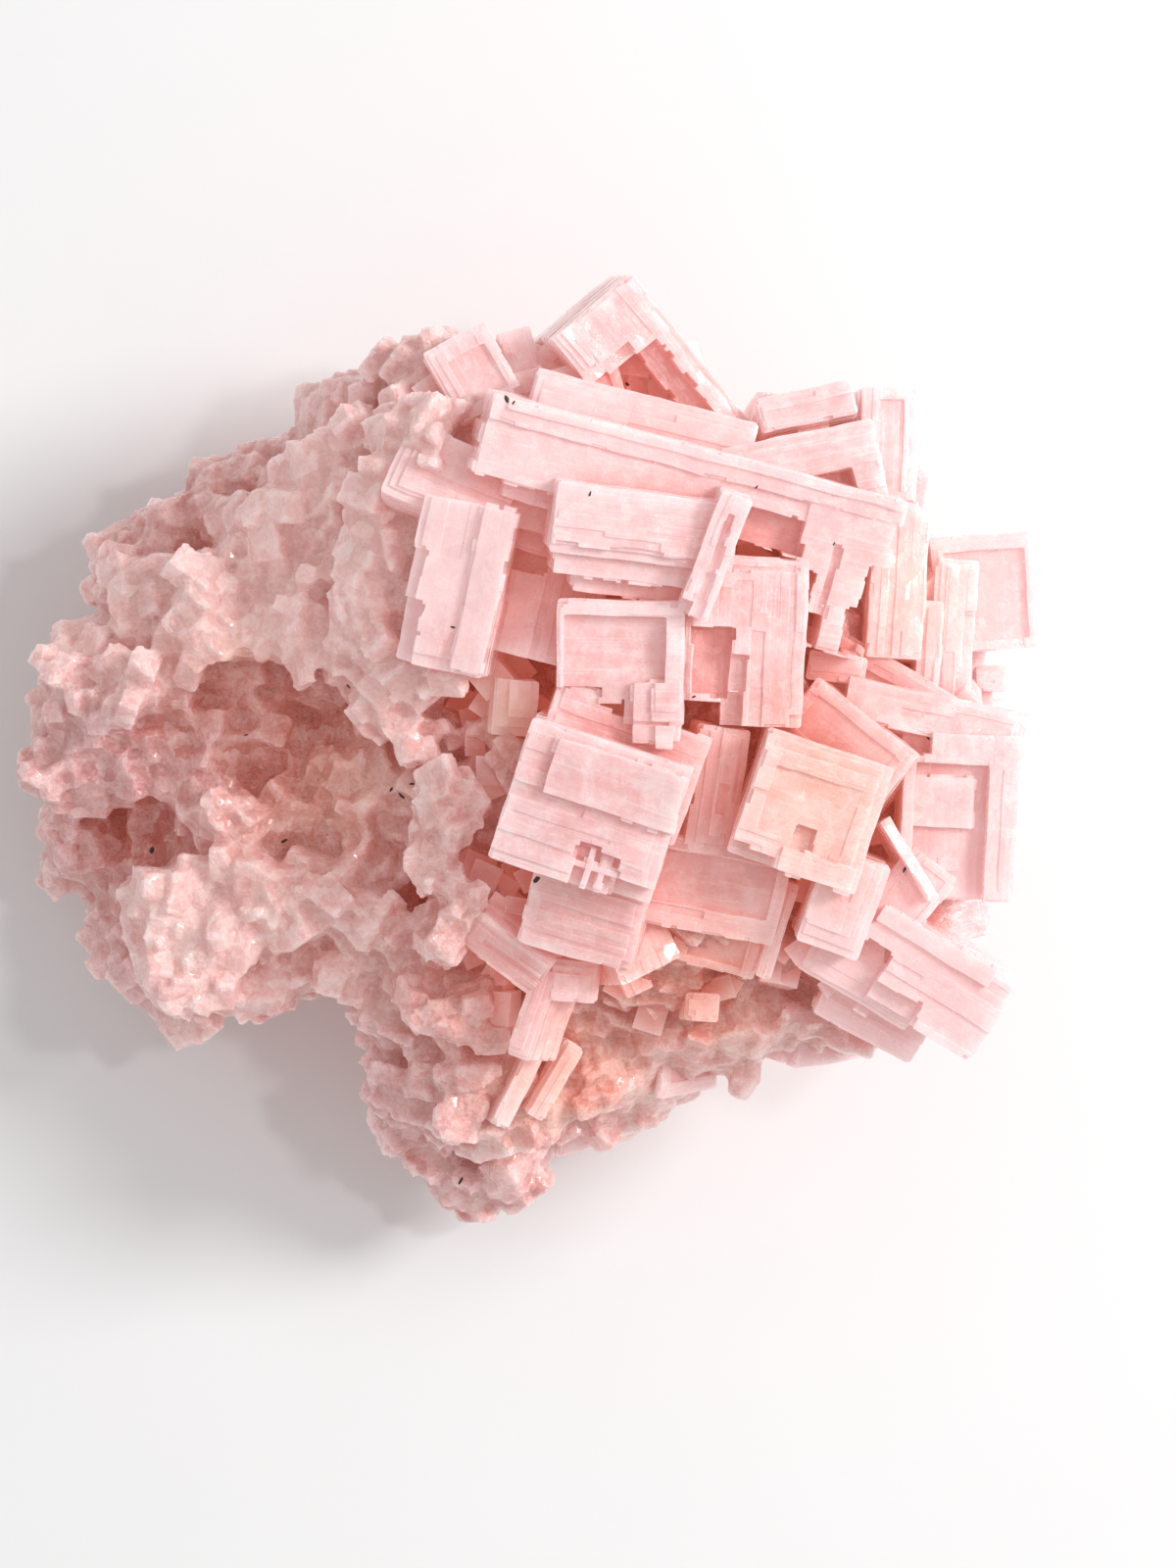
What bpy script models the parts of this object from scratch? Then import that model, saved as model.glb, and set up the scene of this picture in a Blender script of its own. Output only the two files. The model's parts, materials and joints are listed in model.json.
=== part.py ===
"""A pink halite cluster: cubes and frames of salt crystal standing on a lumpy salt crust, all grown
together as one piece. It lies on the flat break of its underside. X runs to the right and Y up the
face that shows the crystals, Z up out of it, and the origin is under the middle of the piece."""

import math
from collections import namedtuple

import bmesh
import bpy
import numpy as np
from mathutils import Euler, Matrix, Vector, noise

MM = 0.001
MIDDLE = (-1.3, -0.6)  # of the whole piece, in the tables below, in millimetres

# Crust, in millimetres
CRUST_VOXEL = 1.3
CRUST_FACES = 4300
LUMP_SEED = Vector((7.3, 2.1, 4.7))
RUGGED = ((7.0, 1.3), (3.4, 0.8))  # (wavelength, height) of the crust's own roughness

# A crystal's front face is centred on `at` and is size[0] wide and size[1] high, and the crystal
# goes size[2] deep. It is turned about Z and leans about its own width and height, in degrees.
# rim is the width left standing at the left, right, bottom and top of a recess `floor` deep.
# Each of boxes is +1 or -1, for salt added or missing, and its x, y and z limits about `at`.
Crystal = namedtuple(
    "Crystal", "name at size turn lean rim floor boxes", defaults=((0, 0), None, 0, ())
)

CRYSTALS = (
    # The long plates across the top
    Crystal("long_plate", (16.6, 28.7, 54.0), (43.0, 2.6, 10), -15, (6, 7), None, 0, (
        (+1, (-21.5, 12.0), (-6.8, -1.3), (-10, -0.8)),
        (+1, (12.0, 20.8), (-15.0, -1.3), (-10, -0.5)),
        (-1, (12.0, 14.0), (-15.0, -8.0), (-10, 0.0)),
        (-1, (14.0, 16.2), (-15.0, -12.2), (-10, 0.0)),
        (-1, (19.6, 20.8), (-15.0, -6.0), (-10, 0.0)),
        (-1, (18.4, 19.6), (-15.0, -10.6), (-10, 0.0)),
        (-1, (15.4, 16.2), (-12.2, -5.0), (-1.3, 0.0)),
        (-1, (6.0, 12.0), (-6.8, -3.2), (-3.0, 0.0)),
    )),
    Crystal("front_plate", (11.2, 21.8, 57.0), (18.4, 7.0, 10), -8, (8, 8), None, 0, (
        (-1, (-9.2, 6.0), (-3.5, -2.6), (-0.9, 0.0)),
        (+1, (-8.4, 5.2), (-5.6, -3.5), (-10, -1.8)),
        (+1, (-6.0, 5.2), (-7.4, -5.6), (-10, -3.4)),
    )),
    Crystal("front_finger", (18.0, 19.0, 57.3), (3.2, 13.0, 10), -21, (8, 6), None, 0, (
        (-1, (-0.2, 0.5), (-6.5, 4.6), (-0.9, 0.0)),
        (-1, (-1.6, -0.6), (-6.5, -5.0), (-2.0, 0.0)),
    )),
    Crystal("back_bar", (11.0, 33.6, 49.5), (23.0, 4.3, 9), -14, (-8, 2)),
    Crystal("step_left", (0.2, 24.0, 52.5), (8.0, 9.0, 10), -17, (5, 0), None, 0, (
        (-1, (-4.0, 4.0), (-4.5, -2.6), (-2.8, 0.0)),
        (-1, (-4.0, 4.0), (-2.6, 0.2), (-1.4, 0.0)),
    )),
    # The crystal with its corner up and a hollow face
    Crystal("roof_crystal", (12.5, 36.5, 46.5), (21.2, 10.6, 14), -50, (-4, 9), None, 0, (
        (-1, (-4.0, 10.8), (0.8, 2.9), (-2.4, 0.0)),
        (-1, (-4.0, 10.8), (-5.5, 0.8), (-6.0, 0.0)),
        (-1, (-5.6, -4.0), (-5.5, 0.4), (-1.2, 0.0)),
        (-1, (-8.0, 10.8), (4.6, 5.5), (-1.5, 0.0)),
    )),
    Crystal("roof_foot", (5.2, 35.8, 45.0), (8.0, 7.2, 12), 16, (-6, 4)),
    Crystal("roof_foot_left", (1.0, 37.4, 42.5), (5.0, 7.0, 12), -24, (-10, -4)),
    # Upper right
    Crystal("upper_frame", (26.8, 27.0, 50.0), (17.0, 9.4, 10), 12, (-3, 4), (0, 3.2, 0, 4.4), 3.0),
    Crystal("upper_thin_plate", (27.4, 34.6, 47.5), (9.9, 3.6, 10), 13, (-5, 3)),
    Crystal("upper_block", (36.0, 30.8, 45.0), (6.0, 11.6, 14), -2, (0, 5)),
    Crystal("shoulder_block", (36.9, 17.2, 44.5), (5.8, 16.0, 14), -4, (-2, 7), None, 0, (
        (-1, (1.6, 3.1), (6.4, 8.0), (-5, 0.0)),
    )),
    # Right edge
    Crystal("right_cube", (45.9, 16.0, 41.0), (10.6, 11.8, 12), 4, (2, 3), (1.2, 1.0, 1.0, 1.6), 0.8),
    Crystal("right_column", (42.6, 11.4, 42.5), (4.4, 16.0, 13), -3, (0, 6), None, 0, (
        (-1, (0.9, 2.2), (-8.0, 2.4), (-1.2, 0.0)),
    )),
    Crystal("right_rib", (40.0, 9.6, 44.0), (2.4, 11.0, 10), -4, (0, 4)),
    Crystal("right_chip", (46.9, 7.4, 37.0), (3.2, 2.6, 8), 0),
    Crystal("right_pin", (46.0, 4.6, 35.5), (2.0, 4.0, 8), 3),
    # The face-on cubes in the middle
    Crystal("framed_cube", (8.6, 8.6, 54.0), (12.7, 12.4, 13), -1, (4, -2), (0.7, 1.8, 0, 1.6), 1.4, (
        (-1, (-6.4, -2.2), (-6.2, -2.6), (-13, 0.0)),
        (-1, (-2.2, 0.4), (-6.2, -4.2), (-5, 0.0)),
        (+1, (1.4, 6.0), (-7.8, -2.0), (-13, -0.5)),
        (+1, (3.6, 5.4), (-8.4, -2.0), (-13, 0.0)),
    )),
    Crystal("stepped_cube", (21.2, 10.8, 52.0), (12.0, 17.0, 13), -3, (2, 3), None, 0, (
        (-1, (-6.0, -2.2), (-8.5, -6.2), (-13, 0.0)),
        (-1, (-5.2, -1.4), (-5.4, 1.2), (-2.4, 0.0)),
        (-1, (-1.4, 0.2), (-5.0, -1.4), (-1.2, 0.0)),
        (-1, (-2.2, 0.0), (-8.5, -5.4), (-1.6, 0.0)),
        (-1, (-6.0, 5.2), (7.1, 7.5), (-0.5, 0.0)),
    )),
    Crystal("second_finger", (25.6, 15.0, 51.5), (2.2, 7.0, 9), -12, (4, 3)),
    Crystal("behind_frame", (1.4, 15.0, 49.0), (11.0, 12.5, 12), -14, (5, -5), None, 0, (
        (-1, (-5.5, -1.0), (2.6, 6.3), (-1.4, 0.0)),
    )),
    # The big cubes of the lower middle
    Crystal("big_cube", (5.6, -6.4, 55.0), (16.8, 14.8, 15), -18, (5, -2), None, 0, (
        (+1, (-5.1, 8.2), (0.6, 6.3), (-1.0, 0.7)),
        (-1, (4.4, 8.4), (-7.4, -5.6), (-3.0, 0.0)),
        (-1, (0.0, 4.4), (-7.4, -3.4), (-1.6, 0.0)),
        (+1, (1.2, 1.8), (-7.0, -3.4), (-1.6, -0.4)),
        (+1, (2.6, 3.2), (-7.0, -3.4), (-1.6, -0.6)),
        (+1, (0.0, 4.4), (-5.4, -4.8), (-1.6, -0.5)),
    )),
    Crystal("big_cube_back", (8.4, -1.2, 51.5), (16.4, 12.4, 12), -20, (3, 2), None, 0, (
        (-1, (-3.4, -0.6), (4.7, 6.2), (-12, 0.0)),
        (-1, (-0.6, 8.2), (5.4, 6.2), (-12, 0.0)),
    )),
    Crystal("wall_right", (18.4, -4.2, 49.5), (5.0, 13.0, 12), -8, (6, 12)),
    Crystal("yellow_cube", (27.8, -6.2, 53.5), (13.2, 13.2, 13), -18, (2, 4), None, 0, (
        (-1, (-1.0, 1.2), (-4.0, -1.6), (-1.6, 0.0)),
        (+1, (-1.8, 6.0), (-6.6, -4.2), (-1.0, 0.5)),
        (-1, (-6.6, -2.6), (-6.6, -5.6), (-3.0, 0.0)),
    )),
    Crystal("yellow_foot", (31.0, -15.6, 50.5), (6.6, 10.0, 13), -20, (5, 2)),
    # Right, below the middle
    Crystal("hopper_cube", (43.0, -7.0, 46.5), (11.8, 17.0, 15), -3, (6, 6), (1.2, 3.2, 0, 3.0), 1.8, (
        (+1, (-5.2, 1.2), (-1.0, 4.0), (-4.0, -0.8)),
        (+1, (-1.8, 0.4), (-5.6, -4.2), (-4.0, -1.6)),
        (-1, (-6.0, -3.2), (6.6, 8.5), (-3.0, 0.0)),
        (-1, (-6.0, -3.4), (-8.5, -4.6), (-15, 0.0)),
    )),
    Crystal("yellow_fin", (38.0, -11.0, 47.0), (1.4, 9.6, 8), 32, (0, 8)),
    Crystal("slope_plate", (31.2, 0.4, 48.5), (13.0, 7.5, 12), -38, (6, -8)),
    Crystal("ridge_plate", (40.8, 3.4, 46.0), (19.0, 4.6, 14), -11, (-10, 6)),
    Crystal("dark_floor", (34.6, 4.6, 44.0), (14.0, 9.5, 12), -30, (4, -6)),
    Crystal("small_step", (30.6, 8.2, 46.0), (6.0, 3.0, 8), -8, (4, 4)),
    # Lower right
    Crystal("tilted_block", (39.1, -23.3, 46.0), (17.4, 9.4, 14), -32, (6, 5), None, 0, (
        (-1, (-8.7, 1.4), (-4.7, -2.4), (-1.6, 0.0)),
        (-1, (-8.7, -4.0), (-4.7, 0.6), (-3.4, 0.0)),
        (+1, (-7.2, 6.0), (2.8, 4.7), (-1.0, 0.5)),
        (-1, (-8.7, -7.2), (2.6, 4.7), (-2.2, 0.0)),
    )),
    Crystal("tilted_step", (33.2, -23.2, 43.8), (13.0, 5.0, 10), -31, (6, 3)),
    Crystal("tilted_foot", (34.4, -27.4, 40.0), (11.4, 5.0, 10), -28, (10, 0)),
    Crystal("side_wedge", (37.8, -15.0, 45.0), (6.0, 9.0, 12), -38, (0, 8)),
    # Lower middle
    Crystal("pink_facet", (4.8, -17.0, 48.5), (12.0, 8.4, 13), -14, (14, -10)),
    Crystal("pink_wing", (10.4, -18.8, 46.0), (7.0, 8.0, 13), 24, (4, 14)),
    Crystal("broad_facet", (17.8, -14.0, 47.5), (15.0, 9.5, 15), -12, (12, 6)),
    Crystal("lower_plate", (18.6, -19.6, 43.5), (9.0, 6.0, 12), -16, (16, 4)),
    Crystal("fin_right", (24.6, -18.4, 45.5), (1.5, 10.0, 10), -18, (4, 6)),
    Crystal("fin_right_low", (22.4, -19.4, 43.8), (1.2, 8.0, 10), -14, (4, 6)),
    Crystal("white_block", (4.2, -23.6, 43.5), (4.8, 4.2, 9), -6, (6, 4)),
    Crystal("white_blade", (-0.4, -26.8, 43.5), (2.6, 9.4, 8), -19, (4, -20)),
    Crystal("dark_box", (-3.0, -20.8, 44.0), (9.2, 4.6, 9), -34, (30, -4)),
    Crystal("pale_slab_low", (-8.0, -17.4, 46.0), (4.0, 8.2, 11), -22, (5, 5)),
    Crystal("pale_slab", (-9.4, -8.2, 47.0), (5.0, 10.6, 12), -8, (4, -6)),
    Crystal("orange_cube", (17.2, -26.4, 38.5), (3.4, 3.0, 8), -4, (0, 6)),
    Crystal("curled_chip", (10.4, -23.8, 39.5), (3.0, 2.2, 6), 24, (0, 10)),
    # The lobe at the bottom
    Crystal("lilac_facet", (-7.6, -36.4, 33.5), (5.6, 8.4, 8), -12, (4, -12)),
    Crystal("glassy_facet", (-13.4, -36.4, 28.0), (6.4, 6.2, 8), 24, (2, -22)),
    Crystal("long_blade", (-1.6, -34.8, 34.5), (2.0, 9.0, 7), -26, (0, 14)),
    Crystal("long_blade_right", (2.0, -34.2, 33.5), (2.0, 8.6, 7), -30, (0, 10)),
    Crystal("glassy_step", (-9.4, -27.8, 37.5), (9.0, 5.0, 9), 8, (14, -8)),
    # Between the crust and the cubes
    Crystal("slanted_prism", (-13.6, 3.2, 43.5), (5.4, 8.0, 10), 22, (2, -8)),
    Crystal("upright_prism", (-16.8, 4.4, 41.5), (2.6, 4.6, 8), 8, (0, -4)),
    Crystal("amber_crystal", (-2.1, 4.2, 45.5), (4.8, 5.8, 9), -4, (3, 4)),
    Crystal("small_cube", (-2.8, 0.1, 44.5), (2.2, 2.2, 8), 3, (5, 5)),
    Crystal("small_cube_low", (-6.2, -6.9, 44.5), (3.0, 3.0, 8), 18, (8, 6)),
    Crystal("link_block", (-4.4, -1.6, 42.0), (6.5, 7.5, 9), -10, (8, -6)),
    Crystal("white_prism", (-8.1, 16.2, 53.5), (9.4, 17.0, 16), -12, (5, -6), None, 0, (
        (+1, (1.6, 4.7), (-8.0, 8.5), (-1.0, 0.6)),
        (-1, (-4.7, -2.6), (-8.5, -2.0), (-3.0, 0.0)),
        (-1, (-4.7, -3.4), (-2.0, 3.0), (-1.6, 0.0)),
    )),
    Crystal("white_cap", (-8.0, 27.2, 51.5), (12.6, 8.0, 14), -24, (-16, -4)),
    Crystal("white_cap_side", (-10.6, 33.0, 48.5), (8.0, 6.0, 12), -8, (-14, -6)),
    Crystal("ridge_crystal", (-6.2, 38.2, 45.5), (7.2, 8.4, 14), 29, (-8, 8)),
    Crystal("peak_crystal", (-1.2, 39.2, 42.5), (3.6, 7.6, 12), 16, (-8, 6)),
    Crystal("corner_crystal", (-11.4, 39.2, 42.5), (6.8, 5.8, 12), 14, (-12, -6)),
    Crystal("cream_block", (-41.8, 5.8, 35.0), (6.8, 6.6, 11), -1, (4, -6)),
    Crystal("cream_block_left", (-46.6, 7.2, 32.5), (5.4, 5.6, 10), 6, (6, -12)),
    Crystal("slab_step", (-32.8, 14.6, 37.5), (8.6, 9.0, 10), -24, (-6, -8)),
    Crystal("slab_ledge", (-22.6, 11.6, 39.5), (8.8, 6.4, 9), 6, (-4, -6)),
    Crystal("recess_cube", (-25.0, 3.0, 31.0), (5.6, 5.0, 8), 14, (-10, 8)),
    Crystal("recess_chip", (-18.2, 0.6, 33.0), (4.4, 4.6, 8), -22, (8, -10)),
    Crystal("recess_chip_left", (-33.0, 1.6, 30.5), (4.6, 4.4, 8), 36, (6, 8)),
)

# Cubes low on the flanks: heading from the origin, height, size, and turn about the three axes
FLANK_CUBES = (
    (-66, 22, 8.0, (20, 35, 10)), (-56, 11, 9.0, (60, 10, 30)), (-44, 20, 10.0, (15, 40, 5)),
    (-34, 28, 8.5, (5, 12, 20)), (-30, 10, 9.5, (35, 20, 50)), (-20, 20, 11.0, (10, 25, 15)),
    (-12, 30, 9.0, (50, 15, 25)), (-8, 11, 10.0, (20, 5, 40)), (2, 22, 12.0, (30, 45, 10)),
    (12, 12, 9.0, (12, 18, 35)), (18, 28, 9.5, (40, 30, 15)), (24, 18, 10.5, (25, 15, 45)),
    (34, 10, 9.0, (15, 50, 20)), (38, 27, 10.0, (45, 20, 10)), (48, 17, 11.0, (30, 10, 60)),
    (58, 29, 10.0, (8, 12, 40)), (64, 11, 9.0, (25, 40, 0)), (72, 22, 10.5, (5, 30, 20)),
    (82, 32, 8.0, (35, 5, 30)), (88, 14, 9.5, (10, 50, 10)), (100, 24, 8.0, (20, 15, 50)),
    (112, 13, 7.5, (40, 10, 25)), (-84, 10, 8.0, (30, 20, 15)),
    (-110, 14, 6.5, (45, 20, 10)), (150, 12, 6.5, (30, 10, 60)), (178, 9, 6.0, (20, 40, 30)),
)

# Lumps of the crust: centre and half sizes
LUMPS = (
    # The mass inside
    (4, 1, 7, 36, 31, 15), (19, 1, 24, 26, 29, 23), (12, 18, 26, 20, 14, 22), (10, -12, 26, 20, 15, 20),
    (-20, 4, 14, 26, 24, 13), (2, -27, 14, 17, 14, 17), (-33, -12, 17, 10, 10, 9),
    # Left edge, from the top down
    (-42.2, 18.8, 18, 5.0, 5.8, 9), (-39.2, 15.6, 24, 5.4, 5.4, 8), (-35.8, 22.6, 18, 6.5, 5.5, 9),
    (-31.0, 26.6, 19, 6, 5, 9), (-26.5, 28.8, 21, 6, 4.5, 9), (-21.2, 32.8, 23, 4.6, 4.8, 9),
    (-16.4, 35.0, 26, 5.5, 4.6, 9), (-10.4, 38.4, 30, 5.5, 4.6, 9),
    (-48.0, 7.2, 23, 5.4, 5.5, 9), (-43.0, 9.8, 26, 6, 5.0, 8), (-47.2, -1.6, 21, 6.6, 5.4, 9),
    (-49.6, 3.4, 20, 3.6, 3.6, 6),
    (-39.8, -1.8, 24, 5.6, 4.4, 7), (-48.8, -9.8, 13, 4.0, 5.2, 8), (-43.6, -10.8, 11, 5.8, 4.8, 7),
    (-43.6, -18.6, 12, 5.0, 6.8, 8), (-36.0, -19.0, 26, 6.0, 6.4, 8), (-36.4, -25.0, 18, 5.0, 3.8, 7),
    (-40.0, -23.4, 16, 4.6, 4.0, 7),
    (-31.6, -17.6, 28, 4.6, 5.4, 7), (-27.2, -22.2, 22, 6.6, 4.4, 8), (-22.0, -15.4, 30, 8.0, 3.9, 7.4),
    (-18.4, -22.2, 22, 7.2, 4.6, 9), (-31.6, -6.6, 30, 5.6, 3.4, 5), (-33.6, -8.4, 27, 3.6, 3.0, 4),
    (-12.0, -22.0, 27, 6.0, 4.8, 8), (-27.6, -9.0, 27, 4.4, 3.2, 5),
    # The broad shelf of the upper left
    (-21.6, 19.0, 28, 12, 8.6, 12), (-31.4, 13.6, 27, 7.6, 5.6, 10), (-14.6, 15.0, 33, 8, 9, 13),
    (-26.0, 23.4, 27, 8, 5, 10), (-19.0, 27.4, 29, 8, 5.6, 12), (-13.0, 27.0, 36, 6, 6, 11),
    (-15.5, 17.0, 38, 6.5, 10.0, 9.5), (-11.5, 27.5, 40, 6, 6, 9), (-12.5, 9.0, 36, 5.0, 4.5, 9),
    (-37.0, 12.0, 27, 4.6, 4.4, 8), (-13.4, 9.8, 33, 5.4, 3.6, 9), (-24.0, 13.0, 29, 6, 3.4, 9),
    # The hollow under it
    (-24.6, -1.0, 15, 13, 9, 12), (-14.6, -6.5, 25, 8, 8, 12), (-11.6, 0.5, 27, 6, 8, 12),
    (-20.0, -7.4, 22, 7, 5, 9), (-25.0, 2.0, 22, 12, 7, 8), (-17.0, -8.5, 26, 7, 5, 8),
    # The lobe at the bottom
    (-14.6, -29.0, 18, 3.6, 5.0, 8), (-9.8, -27.6, 27, 6.6, 3.8, 7), (-14.2, -36.6, 18, 4.8, 3.9, 6),
    (-10.8, -40.4, 16, 3.6, 3.4, 5),
    (-8.0, -35.5, 21, 6, 6.5, 9), (-0.6, -34.5, 23, 7, 7, 9), (6.8, -33.0, 23, 6.6, 5.6, 8),
    (-7.2, -45.0, 13, 2.8, 5.0, 5), (-2.8, -44.4, 16, 3.8, 4.4, 6), (-5.6, -47.0, 13, 2.2, 3.4, 4),
    (15.0, -29.6, 25, 7, 4.6, 8), (23.0, -28.0, 26, 8, 4.0, 8), (31.0, -27.8, 26, 6.6, 3.6, 8),
    (21.6, -33.2, 25, 1.5, 3.2, 1.8),
    # Behind the crystals
    (5.4, 35.5, 26, 10, 8, 12), (28.0, 26.0, 27, 10, 9, 15), (37.0, 10.0, 24, 8, 12, 16),
    (38.5, -9.0, 24, 7.5, 11, 15), (33.0, -21.0, 26, 8, 6, 12),
)


def hidden(obj):
    """Keeps a helper out of the model."""
    obj.hide_render = True
    obj.display_type = "WIRE"
    return obj


def linked(name, mesh):
    obj = bpy.data.objects.new(name, mesh)
    bpy.context.scene.collection.objects.link(obj)
    return obj


def mesh_of(bm, name):
    mesh = bpy.data.meshes.new(name)
    bm.to_mesh(mesh)
    bm.free()
    return mesh


def with_modifiers(obj):
    """The object's mesh with its modifiers applied, as a new mesh."""
    graph = bpy.context.evaluated_depsgraph_get()
    return bpy.data.meshes.new_from_object(obj.evaluated_get(graph))


def crystal_matrix(crystal):
    """From the crystal's own axes to the cluster's."""
    lean_x, lean_y = (math.radians(angle) for angle in crystal.lean)
    turn = Matrix.Rotation(math.radians(crystal.turn), 4, "Z")
    lean = Matrix.Rotation(lean_x, 4, "X") @ Matrix.Rotation(lean_y, 4, "Y")
    return Matrix.Translation(Vector(crystal.at) * MM) @ turn @ lean


def crystal_boxes(crystal):
    """The boxes of salt, added and missing, that make up a crystal."""
    width, height, depth = crystal.size
    x, y = width / 2, height / 2
    boxes = [(+1, (-x, x), (-y, y), (-depth, 0.0))]
    if crystal.rim:
        left, right, bottom, top = crystal.rim
        boxes.append((-1, (-x + left, x - right), (-y + bottom, y - top), (-crystal.floor, 0.0)))
    return boxes + list(crystal.boxes)


def salt_cells(boxes):
    """Space cut along every side of the boxes, and which of the cells are salt."""
    sides = [sorted({limit for box in boxes for limit in box[axis]}) for axis in (1, 2, 3)]
    middles = [np.add(s[:-1], s[1:]) / 2 for s in sides]
    salt = np.zeros([len(m) for m in middles], bool)
    for kind, *limits in boxes:
        inside = [(low < m) & (m < high) for (low, high), m in zip(limits, middles)]
        salt[np.ix_(*inside)] = kind > 0
    return sides, salt


def join_diagonals(salt):
    """Fills a cell beside any two that meet only along an edge, so that the solid stays clean."""
    while True:
        before = salt.sum()
        for axis in range(3):
            rows = np.moveaxis(salt, axis, 0)
            a, b, c, d = rows[:, :-1, :-1], rows[:, 1:, 1:], rows[:, 1:, :-1], rows[:, :-1, 1:]
            c |= a & b & ~c & ~d
            a |= c & d & ~a & ~b
        if salt.sum() == before:
            return


def cell_faces(salt):
    """The corners, as grid steps, of every face between a salt cell and an empty one."""
    padded = np.pad(salt, 1)
    for axis in range(3):
        u, v = (axis + 1) % 3, (axis + 2) % 3
        step = np.diff(padded.astype(np.int8), axis=axis)
        for cell in np.argwhere(step != 0):
            outward = step[tuple(cell)] < 0
            corners = []
            for du, dv in ((0, 0), (1, 0), (1, 1), (0, 1)):
                corner = [int(n) - 1 for n in cell]
                corner[axis] += 1
                corner[u] += du
                corner[v] += dv
                corners.append(tuple(corner))
            yield corners if outward else corners[::-1]


def crystal_mesh(crystal):
    """One closed mesh of a crystal, with its flat faces whole."""
    sides, salt = salt_cells(crystal_boxes(crystal))
    join_diagonals(salt)
    bm = bmesh.new()
    corners = {}
    for face in cell_faces(salt):
        for corner in face:
            if corner not in corners:
                place = [sides[axis][n] * MM for axis, n in enumerate(corner)]
                corners[corner] = bm.verts.new(place)
        bm.faces.new([corners[corner] for corner in face])
    bmesh.ops.dissolve_limit(bm, angle_limit=0.01, verts=bm.verts, edges=bm.edges)
    bmesh.ops.triangulate(bm, faces=bm.faces)
    bmesh.ops.transform(bm, matrix=crystal_matrix(crystal), verts=bm.verts)
    return mesh_of(bm, crystal.name)


def lump_mesh():
    """Every lump of the crust as its own ball, in one mesh."""
    bm = bmesh.new()
    for x, y, z, *radii in LUMPS:
        matrix = Matrix.LocRotScale(Vector((x, y, z)) * MM, None, Vector(radii) * MM)
        bmesh.ops.create_icosphere(bm, subdivisions=4, radius=1.0, matrix=matrix)
    return mesh_of(bm, "lumps")


def roughen(mesh):
    """Moves each point of the crust along its normal by layers of noise."""
    normals = [v.normal.copy() for v in mesh.vertices]
    for vertex, normal in zip(mesh.vertices, normals):
        rise = 0.0
        for wavelength, height in RUGGED:
            place = vertex.co / (wavelength * MM) + LUMP_SEED
            rise += height * noise.noise(place)
        vertex.co += normal * rise * MM


def cut_base(mesh):
    """Cuts the crust off flat at the ground, where it broke away, and closes the cut."""
    bm = bmesh.new()
    bm.from_mesh(mesh)
    cut = bmesh.ops.bisect_plane(
        bm, geom=bm.verts[:] + bm.edges[:] + bm.faces[:], dist=1e-6,
        plane_co=(0, 0, 0), plane_no=(0, 0, 1), clear_inner=True,
    )
    edges = [part for part in cut["geom_cut"] if isinstance(part, bmesh.types.BMEdge)]
    bmesh.ops.triangle_fill(bm, edges=edges, use_beauty=True, normal=(0, 0, -1))
    bmesh.ops.recalc_face_normals(bm, faces=bm.faces)
    return mesh_of(bm, "crust")


def make_crust():
    """The lumps run together, roughened, thinned out and cut flat below."""
    lumps = hidden(linked("lumps", lump_mesh()))
    remesh = lumps.modifiers.new("Run together", "REMESH")
    remesh.mode = "VOXEL"
    remesh.voxel_size = CRUST_VOXEL * MM
    fused = with_modifiers(lumps)
    roughen(fused)
    rough = hidden(linked("rough_crust", fused))
    thin = rough.modifiers.new("Thin out", "DECIMATE")
    thin.ratio = CRUST_FACES / (2 * len(fused.polygons))
    return hidden(linked("crust", cut_base(with_modifiers(rough))))


def flank_crystal(number, crust, heading, height, size, turns):
    """A cube set half into the crust's flank, found by looking inwards along its heading."""
    angle = math.radians(heading)
    outward = Vector((math.cos(angle), math.sin(angle), 0))
    start = outward * 0.2 + Vector((0, 0, height * MM))
    _, place, _, _ = crust.ray_cast(start, -outward)
    middle = place - outward * 0.35 * size * MM
    bm = bmesh.new()
    bmesh.ops.create_cube(bm, size=size * MM)
    spin = Euler([math.radians(t) for t in turns]).to_matrix().to_4x4()
    bmesh.ops.transform(bm, matrix=Matrix.Translation(middle) @ spin, verts=bm.verts)
    bmesh.ops.triangulate(bm, faces=bm.faces)
    return linked(f"flank_{number}", mesh_of(bm, f"flank_{number}"))


def grow_crystals(crust):
    """Joins every crystal to the crust, as one solid."""
    group = bpy.data.collections.new("crystals")
    bpy.context.scene.collection.children.link(group)
    group.hide_render = True
    made = [linked(c.name, crystal_mesh(c)) for c in CRYSTALS]
    made += [flank_crystal(n, crust, *row) for n, row in enumerate(FLANK_CUBES)]
    for obj in made:
        bpy.context.scene.collection.objects.unlink(obj)
        group.objects.link(hidden(obj))
    union = crust.modifiers.new("Grow together", "BOOLEAN")
    union.operation = "UNION"
    union.operand_type = "COLLECTION"
    union.collection = group
    union.solver = "EXACT"


def connected(start):
    """Every point of the mesh that can be reached along edges from one of them."""
    reached, waiting = {start}, [start]
    while waiting:
        vertex = waiting.pop()
        for edge in vertex.link_edges:
            neighbour = edge.other_vert(vertex)
            if neighbour not in reached:
                reached.add(neighbour)
                waiting.append(neighbour)
    return reached


def fill_pores(bm):
    """Fills the pores that are closed in between crystals, which leaves only the outer skin."""
    outermost = max(bm.verts, key=lambda vertex: vertex.co.x)
    skin = connected(outermost)
    pores = [vertex for vertex in bm.verts if vertex not in skin]
    bmesh.ops.delete(bm, geom=pores, context="VERTS")


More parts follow.
